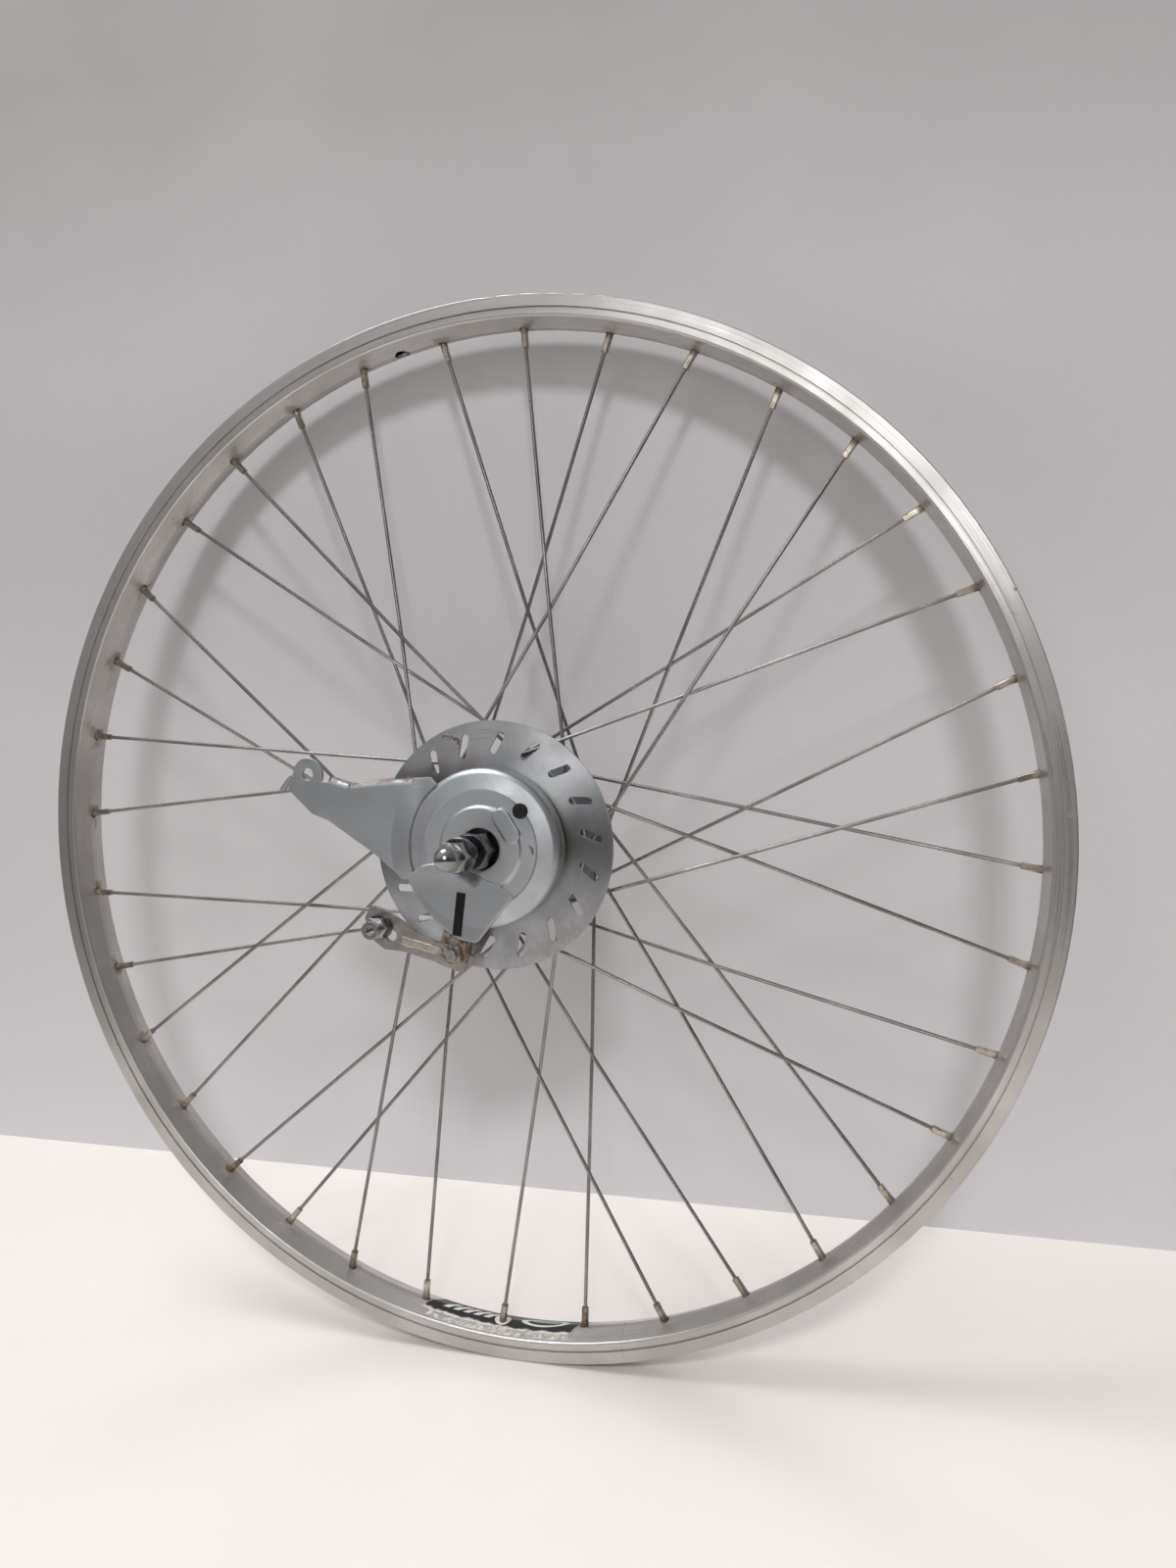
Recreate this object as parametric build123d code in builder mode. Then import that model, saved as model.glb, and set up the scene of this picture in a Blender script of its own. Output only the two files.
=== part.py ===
from build123d import *
import os
from math import cos, radians, sin, sqrt

# Rear bicycle wheel with a roller brake on its left side, without its tyre.
# The origin is on the axle in the middle of the rim. The axle runs along Y, the brake side faces -Y, and Z is up.
# Lengths are millimetres. Angles are degrees, counted from +X towards +Z as seen from the brake side.

# Rim
rim_radius = 286.0
rim_width = 26.0
rim_height = 14.8
bead_height = 6.5
side_height = 11.2
track_step = 0.5
groove_width = 0.9
groove_depth = 0.6
flange_wall = 1.7
hook_reach = 0.6
crown_flat = 3.4
crown_wall = 1.6
side_wall = 1.6
bridge_wall = 1.2
well_depth = 2.0
well_width = 12.0
shoulder_fillet = 1.6
lip_fillet = 0.5
valve_hole_diameter = 8.5
access_hole_diameter = 8.0
nipple_hole_diameter = 4.7

# Spokes and nipples
spoke_count = 36
crosses = 3
first_hole_angle = -2.527
hole_stagger = 1.05
spoke_diameter = 2.0
spoke_head_diameter = 3.8
spoke_head_height = 1.0
flange_clearance = 0.12
crossing_gap = 0.08
elbow_radius = 1.7
crossing_bend = 60.0
nipple_length = 12.0
nipple_shank = 4.0
nipple_round_length = 4.2
nipple_flats = 3.3
nipple_head_diameter = 6.0
nipple_head_height = 1.6
nipple_cone_height = 0.9
nipple_lift = 0.4
spoke_in_head = 1.2
thread_clearance = 0.05

# Hub shell
left_flange_y = -20.6
right_flange_y = 25.0
hub_hole_radius = 42.7
flange_margin = 4.3
flange_thickness = 3.0
spoke_hole_diameter = 2.6
barrel_radius = 33.0
barrel_wall = 3.0
left_overhang = 2.4
right_overhang = 6.5
shoulder_radius = 23.0
spline_radius = 20.0
spline_count = 12
spline_height = 0.9
spline_width = 3.0
spline_clearance = 0.15
axle_opening = 11.0

# Axle, cones and nuts
axle_length = 184.0
axle_diameter = 10.0
axle_flats = 8.6
axle_flat_length = 40.0
over_locknut = 130.0
thread_fit = 0.04
nut_flats = 17.0
nut_chamfer = 1.2
cap_flats = 14.0
cap_hex_height = 9.0
cap_thread_depth = 12.0
cap_dome_radius = 6.4
cap_neck_height = 3.6
axle_end_gap = 2.0
washer_thickness = 3.0
washer_radius = 9.0
locknut_height = 8.0
left_sleeve_radius = 7.95
right_sleeve_radius = 9.0
spacer_radius = 8.5

# Bearings
ball_diameter = 6.35
ball_count = 9
ball_circle_radius = 12.5
race_clearance = 0.08
race_overlap = 1.0
race_open = 2.5
cup_radius = 17.0
cup_width = 8.6
retainer_wall = 1.2
retainer_rail = 0.7
pocket_clearance = 0.15
dust_cap_thickness = 0.8
dust_cap_gap = 0.5
left_ball_y = -24.0
right_ball_y = 15.0

# Brake disc and drum
disc_radius = 65.0
disc_thickness = 1.2
disc_standoff = 6.7
slot_count = 18
slot_radius = 53.5
slot_length = 12.8
slot_width = 3.9
slot_lean = 27.0
slot_start_angle = 126.0
drum_inner_radius = 35.0
drum_outer_radius = 39.2
drum_web = 2.6
drum_depth = 9.4
rivet_count = 6
rivet_circle_radius = 29.0
rivet_diameter = 3.0
rivet_head_diameter = 5.6
rivet_head_height = 0.9

# Brake inside
side_clearance = 1.0
edge_clearance = 0.4
bush_radius = 11.0
bush_bore_clearance = 0.05
bush_floor = 10.5
bush_flange_radius = 16.0
bush_flange_thickness = 1.4
bush_wall = 1.4
cam_bore_clearance = 0.05
roller_radius = 3.0
roller_circle_radius = 23.0
roller_pin_radius = 1.0
roller_pin_length = 0.9
roller_plate_thickness = 0.8
roller_pin_play = 0.7
shoe_count = 3
first_shoe_angle = -105.0
shoe_span = 104.0
shoe_gap = 0.5
shoe_roller_gap = 0.1
cam_roller_gap = 0.15
ramp_lead = 8.0
ramp_overrun = 16.0
shoe_travel = 0.4
lever_swing = 18.0
anchor_radius = 2.4
anchor_circle_radius = 27.0
lever_gap = 0.5
cam_arm_thickness = 1.5
cam_arm_width = 17.0
cam_arm_reach = 65.5
cam_arm_angle = -107.7
cam_ring_radius = 17.0
spring_wire = 1.2
spring_gap = 0.15
spring_coil_radius = 13.8
spring_reach = 58.0
spring_leg_angle = -98.0
spring_hook = 5.0

# Brake cover, plateau to skirt, and its reaction arm
cover_radius = 41.0
cover_sheet = 1.2
cover_hole_radius = 10.75
plateau_radius = 21.0
plateau_step = 1.2
recess_radius = 30.0
band_rise = 0.5
band_drop = 1.7
corner_drop = 4.4
plateau_bend = 0.8
corner_bend = 2.4
skirt_standoff = 5.1
window_from_angle = -142.0
window_to_angle = -91.0
lobe_rise = 0.2
lobe_thickness = 2.0
lobe_corner_radius = 4.0
lobe_fillet = 0.9
emboss_rise = 0.8
emboss_length = 19.0
emboss_width = 9.0
emboss_place = (14.5, 12.0)
emboss_angle = -58.0
emboss_fillet = 0.6
plug_place = (22.0, 19.5)
plug_hole_radius = 3.2
plug_fit = 0.05
plug_head_radius = 3.9
plug_head_height = 0.9
plug_stem_length = 1.0
arm_setback = 6.8
arm_sheet = 2.0
arm_lip_depth = 5.8
arm_lip_wall = 1.8
arm_bend_radius = 3.4
ramp_foot_radius = 52.0
ramp_drop = 2.6
eye_place = (-99.6, 37.9)
eye_radius = 8.6
eye_hole_radius = 3.2
tab_thickness = 2.0
tab_height = 4.5

# Lever and cable clamp
lever_thickness = 2.0
lever_fillet = 2.0
bead_width = 4.6
bead_height_on_lever = 1.1
clamp_place = (-57.2, -41.8)
clamp_shank_radius = 3.0
clamp_hole_clearance = 0.15
clamp_slot_place = (-51.2, -46.2)
clamp_slot_radius = 3.1
clamp_washer_radius = 6.6
clamp_washer_thickness = 2.4
clamp_hex_flats = 10.6
clamp_hex_height = 4.6
clamp_collar_radius = 4.7
clamp_collar_length = 5.4
clamp_socket_radius = 2.2
clamp_socket_depth = 4.0
clamp_nut_flats = 10.0
clamp_nut_height = 3.4
lever_rivet_place = (-17.6, -55.3)
lever_rivet_radius = 2.0
lever_rivet_head_radius = 3.2
lever_rivet_head_height = 1.4

# Driver, roller clutch and sprocket
clutch_race_wall = 2.8
clutch_race_gap = 0.28
clutch_roller_radius = 2.25
clutch_roller_gap = 0.12
clutch_length = 9.0
clutch_count = 6
clutch_start_gap = 1.2
clutch_pin_radius = 0.9
clutch_pin_length = 0.8
clutch_plate_thickness = 0.9
driver_radius = 15.5
driver_bore = 10.0
driver_length = 26.0
bush_running_fit = 0.05
sprocket_teeth = 18
chain_pitch = 12.7
chain_roller_radius = 4.0
sprocket_tip_height = 3.0
sprocket_tip_gap = 4.9
sprocket_thickness = 2.2
sprocket_y = 42.0
sprocket_shoulder_radius = 19.5
sprocket_shoulder = 3.0
lug_count = 3
lug_radius = 17.4
lug_width = 6.0
lug_clearance = 0.1
snap_ring_thickness = 1.4
snap_ring_radius = 19.0
snap_groove_depth = 0.8
snap_ring_gap = 5.0

# Places that follow from the sizes above
half_width = rim_width / 2
lower_half = half_width - track_step
crown_radius = rim_radius - rim_height
bead_radius = rim_radius - bead_height
shoulder_line = rim_radius - side_height
well_radius = bead_radius - well_depth
hole_pitch = 360 / spoke_count
valve_angle = first_hole_angle - 25.5 * hole_pitch
nipple_seat_radius = crown_radius + crown_wall + nipple_lift
flange_radius = hub_hole_radius + flange_margin
axle_radius = axle_diameter / 2
axle_bore = axle_radius + thread_fit
ball_radius = ball_diameter / 2

shell_left_y = left_flange_y - flange_thickness / 2 - left_overhang
shell_right_y = right_flange_y + flange_thickness / 2 + right_overhang
disc_back_y = shell_left_y - disc_standoff
disc_front_y = disc_back_y - disc_thickness
web_front_y = disc_front_y - drum_web
drum_edge_y = web_front_y - drum_depth
cam_arm_back_y = drum_edge_y - lever_gap
cam_arm_front_y = cam_arm_back_y - cam_arm_thickness
lever_front_y = cam_arm_front_y - lever_thickness
spring_y = cam_arm_front_y - spring_gap - spring_wire / 2
bush_flange_back_y = spring_y - spring_wire / 2 - spring_gap - edge_clearance
bush_flange_front_y = bush_flange_back_y - bush_flange_thickness
brake_inner_y = web_front_y - side_clearance
brake_outer_y = drum_edge_y + edge_clearance
bush_floor_y = brake_inner_y - bush_floor
plateau_front_y = bush_flange_front_y - cover_sheet
recess_front_y = plateau_front_y + plateau_step
band_front_y = recess_front_y - band_rise
skirt_edge_y = disc_front_y - skirt_standoff
reaction_arm_front_y = plateau_front_y + arm_setback
lobe_front_y = plateau_front_y - lobe_rise
cap_seat_y = axle_length / 2 - cap_thread_depth
left_locknut_y = -over_locknut / 2
right_locknut_y = over_locknut / 2
clutch_start_y = right_ball_y + cup_width / 2 + clutch_start_gap
clutch_end_y = clutch_start_y + clutch_length
driver_end_y = clutch_start_y + driver_length
right_sleeve_end_y = driver_end_y + edge_clearance
shell_bore = barrel_radius - barrel_wall


def face_at(y):
    # drawing plane across the axle at y, seen from the brake side with X right and Z up
    return Plane.XZ.offset(-y)


def polar(radius, angle):
    return (radius * cos(radians(angle)), radius * sin(radians(angle)))


def point(radius, angle, y):
    across, up = polar(radius, angle)
    return Vector(across, y, up)


def spots(radius, count, y, start=0.0):
    # evenly spaced points on a circle around the axle
    return [point(radius, start + n * 360 / count, y) for n in range(count)]


def around_axle(part, count):
    # copies of one piece turned evenly about the axle
    return [part.rotate(Axis.Y, n * 360 / count) for n in range(count)]


def ring(inner, outer, y_from, y_to):
    # plain ring about the axle
    with BuildPart() as piece:
        with BuildSketch(face_at(max(y_from, y_to))):
            Circle(outer)
            Circle(inner, mode=Mode.SUBTRACT)
        extrude(amount=abs(y_from - y_to))
    return piece.part


def turned(*profile):
    # solid of revolution about the axle from (radius, y) corners
    with BuildPart() as piece:
        with BuildSketch(Plane.XY):
            with BuildLine():
                Polyline(*profile, close=True)
            make_face()
        revolve(axis=Axis.Y)
    return piece.part


def corners_at(sketch, *places):
    # the corners of a sketch that lie at the given places
    return [v for v in sketch.vertices() if any((Vector(*p) - Vector(v.X, v.Y)).length < 0.01 for p in places)]


def hexagon_nut(flats, bore, y_from, y_to, bevel):
    # hexagon with both ends turned to a bevel
    corner = flats / 2 / cos(radians(30))
    low = min(y_from, y_to)
    high = max(y_from, y_to)
    shoulder = corner - bevel
    with BuildPart() as piece:
        with BuildSketch(face_at(high)):
            RegularPolygon(flats / 2, 6, major_radius=False)
            Circle(bore, mode=Mode.SUBTRACT)
        extrude(amount=high - low)
        with BuildSketch(Plane.XY):
            with BuildLine():
                Polyline((0, low), (shoulder, low), (corner, low + bevel / 2), (corner, high - bevel / 2),
                         (shoulder, high), (0, high), close=True)
            make_face()
        revolve(axis=Axis.Y, mode=Mode.INTERSECT)
    return piece.part


def finish(part, name):
    part.label = name
    export_step(part, f"parts/{name}.step")


os.makedirs("parts", exist_ok=True)


# Lacing: families 0 to 3 repeat round the rim, odd ones go to the left flange

def rim_angle(family):
    return first_hole_angle - family * hole_pitch


def flange_side(family):
    return -1 if family % 2 else 1


def lace_turn(family):
    return 1 if family < 2 else -1


def hub_angle(family):
    return rim_angle(family) + lace_turn(family) * crosses * 2 * hole_pitch


def flange_middle(family):
    return left_flange_y if family % 2 else right_flange_y


def elbow_height(hub, crossing, outside):
    # how far from the flange's middle the spoke bends: a spoke outside the flange has to pass over its edge
    clear = flange_thickness / 2 + spoke_diameter / 2 + flange_clearance
    flat_run = Vector(crossing.X - hub.X, 0, crossing.Z - hub.Z)
    along = hub.dot(flat_run.normalized())
    offset = hub_hole_radius**2 - along**2
    over_flange = sqrt(flange_radius**2 - offset) - along if outside else 0
    part_way = over_flange / flat_run.length
    return (clear + abs(crossing.Y - hub.Y) * part_way) / (1 - part_way)


def spoke_route(family):
    # corners of one spoke: head, elbow at the flange, last crossing, and the end inside the nipple
    side = flange_side(family)
    runs_towards = side if family in (1, 2) else -side
    middle = flange_middle(family)
    hub = point(hub_hole_radius, hub_angle(family), middle)
    seat = point(nipple_seat_radius, rim_angle(family), side * hole_stagger)
    cross_x, cross_z = polar(1, rim_angle(family) + lace_turn(family) * hole_pitch)
    run = seat - hub
    share = (hub.Z * cross_x - hub.X * cross_z) / (run.X * cross_z - run.Z * cross_x)
    crossing = hub + run * share - Vector(0, runs_towards * (spoke_diameter / 2 + crossing_gap), 0)
    head = hub - Vector(0, runs_towards * (flange_thickness / 2 + spoke_head_height), 0)
    elbow = hub + Vector(0, runs_towards * elbow_height(hub, crossing, runs_towards == side), 0)
    end = seat + (seat - crossing).normalized() * spoke_in_head
    return head, elbow, crossing, seat, end


def spoke(family):
    head, elbow, crossing, seat, end = spoke_route(family)
    with BuildPart() as piece:
        with BuildLine():
            FilletPolyline(head, elbow, crossing, end, radius=[elbow_radius, crossing_bend])
        with BuildSketch(Plane(origin=head, z_dir=elbow - head)):
            Circle(spoke_diameter / 2)
        sweep()
        with BuildSketch(Plane(origin=head, z_dir=elbow - head)):
            Circle(spoke_head_diameter / 2)
        extrude(amount=spoke_head_height)
    return piece.part


def nipple(family):
    head, elbow, crossing, seat, end = spoke_route(family)
    base = Plane(origin=seat, z_dir=crossing - seat)
    top = base.offset(-nipple_cone_height)
    with BuildPart() as piece:
        with BuildSketch(base):
            Circle(nipple_shank / 2)
        extrude(amount=nipple_round_length)
        with BuildSketch(base.offset(nipple_round_length)):
            Circle(nipple_shank / 2)
            Rectangle(nipple_flats, nipple_flats, mode=Mode.INTERSECT)
        extrude(amount=nipple_length - nipple_round_length)
        with BuildSketch(base):
            Circle(nipple_shank / 2)
        with BuildSketch(top):
            Circle(nipple_head_diameter / 2)
        loft()
        with BuildSketch(top):
            Circle(nipple_head_diameter / 2)
        extrude(amount=-nipple_head_height)
        with BuildSketch(top.offset(-nipple_head_height)):
            Circle(spoke_diameter / 2 + thread_clearance)
        extrude(amount=nipple_length + nipple_cone_height + nipple_head_height, mode=Mode.SUBTRACT)
    return piece.part


# Rim: one extruded hoop with a box section, hooked flanges, a nipple hole and an access hole for each spoke
def both_sides(half_outline):
    # a section's corners from one side of the mid-plane to the other, as (radius, y)
    return half_outline + [(radius, -y) for radius, y in reversed(half_outline)]


flange_inside = half_width - flange_wall
outer_outline = both_sides([
    (crown_radius, crown_flat / 2),
    (shoulder_line, lower_half),
    (bead_radius - groove_width, lower_half),
    (bead_radius - groove_width, lower_half - groove_depth),
    (bead_radius, lower_half - groove_depth),
    (bead_radius, half_width),
    (rim_radius, half_width),
    (rim_radius, flange_inside),
    (rim_radius - 2 * hook_reach, flange_inside - hook_reach),
    (rim_radius - 4 * hook_reach, flange_inside),
    (bead_radius, flange_inside),
    (bead_radius, well_width / 2 + well_depth),
    (well_radius, well_width / 2),
])
cavity_side = lower_half - side_wall
cavity_outline = both_sides([
    (crown_radius + crown_wall, crown_flat / 2),
    (shoulder_line + crown_wall, cavity_side),
    (bead_radius - bridge_wall, cavity_side),
    (bead_radius - bridge_wall, well_width / 2 + well_depth + bridge_wall / 2),
    (well_radius - bridge_wall, well_width / 2 + bridge_wall / 2),
])
rim_holes = [(rim_angle(n), hole_stagger * flange_side(n)) for n in range(spoke_count)]


def radial_plane(radius, angle, y):
    # plane facing outwards from the axle
    return Plane(origin=point(radius, angle, y), x_dir=(0, 1, 0), z_dir=point(1, angle, 0))


with BuildPart() as rim:
    with BuildSketch(Plane.XY) as rim_section:
        with BuildLine():
            Polyline(*outer_outline, close=True)
        make_face()
        shoulders = [v for v in rim_section.vertices() if abs(v.X - shoulder_line) < 0.01]
        fillet(shoulders, radius=shoulder_fillet)
        lips = [v for v in rim_section.vertices() if abs(v.X - rim_radius) < 0.01]
        fillet(lips, radius=lip_fillet)
        with BuildLine():
            Polyline(*cavity_outline, close=True)
        make_face(mode=Mode.SUBTRACT)
    revolve(axis=Axis.Y)
    with Locations([radial_plane(crown_radius, angle, y) for angle, y in rim_holes]):
        Cylinder(nipple_hole_diameter / 2, 4 * crown_wall, mode=Mode.SUBTRACT)
    with Locations([radial_plane(well_radius - bridge_wall / 2, angle, y) for angle, y in rim_holes]):
        Cylinder(access_hole_diameter / 2, 3 * bridge_wall, mode=Mode.SUBTRACT)
    with Locations(radial_plane((crown_radius + well_radius) / 2, valve_angle, 0)):
        Cylinder(valve_hole_diameter / 2, rim_height, mode=Mode.SUBTRACT)
finish(rim.part, "rim")

# Spokes, one node for each family, and the nipples
spoke_names = {
    0: "spokes_right_heads_out",
    1: "spokes_left_heads_in",
    2: "spokes_right_heads_in",
    3: "spokes_left_heads_out",
}
for family, family_name in spoke_names.items():
    with BuildPart() as spokes:
        add(around_axle(spoke(family), spoke_count // 4))
    finish(spokes.part, family_name)

with BuildPart() as spoke_nipples:
    for family in spoke_names:
        add(around_axle(nipple(family), spoke_count // 4))
finish(spoke_nipples.part, "spoke_nipples")

# Hub shell: barrel, two drilled flanges, a splined boss for the brake and a seat for each bearing cup
left_cup_inner_y = left_ball_y + cup_width / 2
right_cup_inner_y = right_ball_y - cup_width / 2
right_web_y = right_cup_inner_y - barrel_wall
left_web_y = left_cup_inner_y + barrel_wall
spline_root = spline_radius - spline_height
flange_half = flange_thickness / 2
with BuildPart() as hub_shell:
    with BuildSketch(Plane.XY):
        with BuildLine():
            Polyline(
                (cup_radius, web_front_y),
                (spline_root, web_front_y),
                (spline_root, disc_back_y),
                (shoulder_radius, disc_back_y),
                (shoulder_radius, shell_left_y),
                (barrel_radius, shell_left_y),
                (barrel_radius, left_flange_y - flange_half),
                (flange_radius, left_flange_y - flange_half),
                (flange_radius, left_flange_y + flange_half),
                (barrel_radius, left_flange_y + flange_half),
                (barrel_radius, right_flange_y - flange_half),
                (flange_radius, right_flange_y - flange_half),
                (flange_radius, right_flange_y + flange_half),
                (barrel_radius, right_flange_y + flange_half),
                (barrel_radius, shell_right_y),
                (shell_bore, shell_right_y),
                (shell_bore, right_cup_inner_y + cup_width),
                (cup_radius, right_cup_inner_y + cup_width),
                (cup_radius, right_cup_inner_y),
                (axle_opening, right_cup_inner_y),
                (axle_opening, right_web_y),
                (shell_bore, right_web_y),
                (shell_bore, left_web_y),
                (axle_opening, left_web_y),
                (axle_opening, left_cup_inner_y),
                (cup_radius, left_cup_inner_y),
                close=True,
            )
        make_face()
    revolve(axis=Axis.Y)
    flange_rims = [
        edge for edge in hub_shell.edges().filter_by(GeomType.CIRCLE)
        if abs(edge.radius - flange_radius) < 0.01
    ]
    fillet(flange_rims, radius=flange_thickness / 3)
    for family in (0, 1):
        middle = flange_middle(family)
        with BuildSketch(face_at(middle + flange_thickness)):
            with PolarLocations(hub_hole_radius, spoke_count // 2, start_angle=hub_angle(family)):
                Circle(spoke_hole_diameter / 2)
        extrude(amount=2 * flange_thickness, mode=Mode.SUBTRACT)
    with BuildSketch(face_at(disc_back_y)):
        with PolarLocations(spline_root, spline_count):
            Rectangle(2 * spline_height, spline_width)
        Circle(spline_radius, mode=Mode.INTERSECT)
    extrude(amount=disc_back_y - web_front_y)
finish(hub_shell.part, "hub_shell")


# Bearings: a cup in the shell, a cone on the axle, and balls in a retainer between them
def bearing_cup(ball_y, outwards):
    # ring with a race, closed on the inner side and open on the outer side where the cone goes in
    inner_y = ball_y - outwards * cup_width / 2
    outer_y = ball_y + outwards * cup_width / 2
    with BuildPart() as piece:
        with BuildSketch(Plane.XY):
            with BuildLine():
                Polyline(
                    (ball_circle_radius + race_overlap, inner_y),
                    (cup_radius, inner_y),
                    (cup_radius, outer_y),
                    (ball_circle_radius + race_open, outer_y),
                    (ball_circle_radius + race_open, ball_y),
                    (ball_circle_radius + race_overlap, ball_y),
                    close=True,
                )
            make_face()
            with Locations((ball_circle_radius, ball_y)):
                Circle(ball_radius + race_clearance, mode=Mode.SUBTRACT)
        revolve(axis=Axis.Y)
    return piece.part


def bearing_cone(ball_y, outwards, sleeve_radius, sleeve_end_y):
    # race cone with a sleeve that reaches out along the axle
    inner_y = ball_y - outwards * cup_width / 2
    outer_y = ball_y + outwards * cup_width / 2
    with BuildPart() as piece:
        with BuildSketch(Plane.XY):
            with BuildLine():
                Polyline(
                    (axle_bore, inner_y),
                    (ball_circle_radius - race_open, inner_y),
                    (ball_circle_radius - race_open, ball_y),
                    (ball_circle_radius - race_overlap, ball_y),
                    (ball_circle_radius - race_overlap, outer_y),
                    (sleeve_radius, outer_y),
                    (sleeve_radius, sleeve_end_y),
                    (axle_bore, sleeve_end_y),
                    close=True,
                )
            make_face()
            with Locations((ball_circle_radius, ball_y)):
                Circle(ball_radius + race_clearance, mode=Mode.SUBTRACT)
        revolve(axis=Axis.Y)
    return piece.part


def ball_set(ball_y):
    with BuildPart() as piece:
        with Locations(spots(ball_circle_radius, ball_count, ball_y)):
            Sphere(ball_radius)
    return piece.part


def ball_retainer(ball_y):
    half_length = ball_radius + pocket_clearance + retainer_rail
    inner = ball_circle_radius - retainer_wall / 2
    with BuildPart() as piece:
        add(ring(inner, inner + retainer_wall, ball_y - half_length, ball_y + half_length))
        pockets = [radial_plane(ball_circle_radius, n * 360 / ball_count, ball_y) for n in range(ball_count)]
        with Locations(pockets):
            Cylinder(ball_radius + pocket_clearance, 4 * retainer_wall, mode=Mode.SUBTRACT)
    return piece.part


def dust_cap(ball_y, outwards, sleeve_radius):
    start = ball_y + outwards * (cup_width / 2 + dust_cap_gap)
    return ring(sleeve_radius + dust_cap_gap, cup_radius, start, start + outwards * dust_cap_thickness)


finish(bearing_cup(left_ball_y, -1), "left_bearing_cup")
finish(bearing_cup(right_ball_y, 1), "right_bearing_cup")
finish(bearing_cone(left_ball_y, -1, left_sleeve_radius, bush_floor_y), "left_cone")
finish(bearing_cone(right_ball_y, 1, right_sleeve_radius, right_sleeve_end_y), "right_cone")
finish(ball_set(left_ball_y), "left_balls")
finish(ball_set(right_ball_y), "right_balls")
finish(ball_retainer(left_ball_y), "left_ball_retainer")
finish(ball_retainer(right_ball_y), "right_ball_retainer")
finish(dust_cap(left_ball_y, -1, left_sleeve_radius), "left_dust_cap")

# Axle with a pair of flats at each end
with BuildPart() as axle:
    with BuildSketch(face_at(axle_length / 2)):
        Circle(axle_radius)
    extrude(amount=axle_length)
    chamfer(axle.edges().filter_by(GeomType.CIRCLE), length=thread_fit * 20)
    for end_y in (axle_length / 2, -axle_length / 2 + axle_flat_length):
        with BuildSketch(face_at(end_y)):
            Rectangle(axle_diameter, axle_diameter)
            Rectangle(axle_diameter, axle_flats, mode=Mode.SUBTRACT)
        extrude(amount=axle_flat_length, mode=Mode.SUBTRACT)
finish(axle.part, "axle")


# Nuts and washers along the axle
def cap_nut(way):
    # domed nut, closed at the end, that screws onto the axle from one side
    seat = way * cap_seat_y
    hex_end = seat + way * cap_hex_height
    dome_middle = hex_end + way * cap_neck_height
    with BuildPart() as piece:
        add(hexagon_nut(cap_flats, axle_bore, seat, hex_end, nut_chamfer))
        add(ring(axle_bore, cap_dome_radius, hex_end, dome_middle))
        with Locations((0, dome_middle, 0)):
            Sphere(cap_dome_radius)
        bore_end = way * (axle_length / 2 + axle_end_gap)
        add(turned((0, seat), (axle_bore, seat), (axle_bore, bore_end), (0, bore_end)), mode=Mode.SUBTRACT)
    return piece.part


def keyed_washer(way):
    # round washer whose hole has the axle's flats
    outer_y = way * cap_seat_y
    inner_y = outer_y - way * washer_thickness
    with BuildPart() as piece:
        with BuildSketch(face_at(max(outer_y, inner_y))):
            Circle(washer_radius)
            with BuildSketch(mode=Mode.PRIVATE) as keyhole:
                Circle(axle_bore)
                Rectangle(2 * axle_bore, axle_flats + 2 * thread_fit, mode=Mode.INTERSECT)
            add(keyhole.sketch, mode=Mode.SUBTRACT)
        extrude(amount=washer_thickness)
        rims = [e for e in piece.edges().filter_by(GeomType.CIRCLE) if abs(e.radius - washer_radius) < 0.01]
        chamfer(rims, length=washer_thickness / 5)
    return piece.part


finish(cap_nut(-1), "left_cap_nut")
finish(cap_nut(1), "right_cap_nut")
finish(keyed_washer(-1), "left_washer")
finish(keyed_washer(1), "right_washer")
finish(hexagon_nut(nut_flats, axle_bore, bush_floor_y, left_locknut_y, nut_chamfer), "brake_fixing_nut")
locknut_start_y = right_locknut_y - locknut_height
finish(hexagon_nut(nut_flats, axle_bore, locknut_start_y, right_locknut_y, nut_chamfer), "right_locknut")
finish(ring(axle_bore, spacer_radius, right_sleeve_end_y, locknut_start_y), "right_spacer")

# Cooling disc: thin sheet with a ring of leaning slots
with BuildPart() as cooling_disc:
    with BuildSketch(face_at(disc_back_y)):
        Circle(disc_radius)
        Circle(spline_radius + spline_clearance, mode=Mode.SUBTRACT)
        with PolarLocations(slot_radius, slot_count, start_angle=slot_start_angle):
            SlotOverall(slot_length, slot_width, rotation=-slot_lean, mode=Mode.SUBTRACT)
        with PolarLocations(rivet_circle_radius, rivet_count):
            Circle(rivet_diameter / 2, mode=Mode.SUBTRACT)
    extrude(amount=disc_thickness)
finish(cooling_disc.part, "cooling_disc")

# Brake drum: a shallow cup whose web slides over the hub's splines
with BuildPart() as brake_drum:
    with BuildSketch(face_at(disc_front_y)):
        Circle(drum_outer_radius)
        with BuildSketch(mode=Mode.PRIVATE) as splined_hole:
            Circle(spline_root + spline_clearance)
            with PolarLocations(spline_root, spline_count):
                Rectangle(2 * spline_height + 2 * spline_clearance, spline_width + 2 * spline_clearance)
        add(splined_hole.sketch, mode=Mode.SUBTRACT)
        with PolarLocations(rivet_circle_radius, rivet_count):
            Circle(rivet_diameter / 2, mode=Mode.SUBTRACT)
    extrude(amount=drum_web)
    with BuildSketch(face_at(web_front_y)):
        Circle(drum_outer_radius)
        Circle(drum_inner_radius, mode=Mode.SUBTRACT)
    extrude(amount=drum_depth)
finish(brake_drum.part, "brake_drum")

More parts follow.
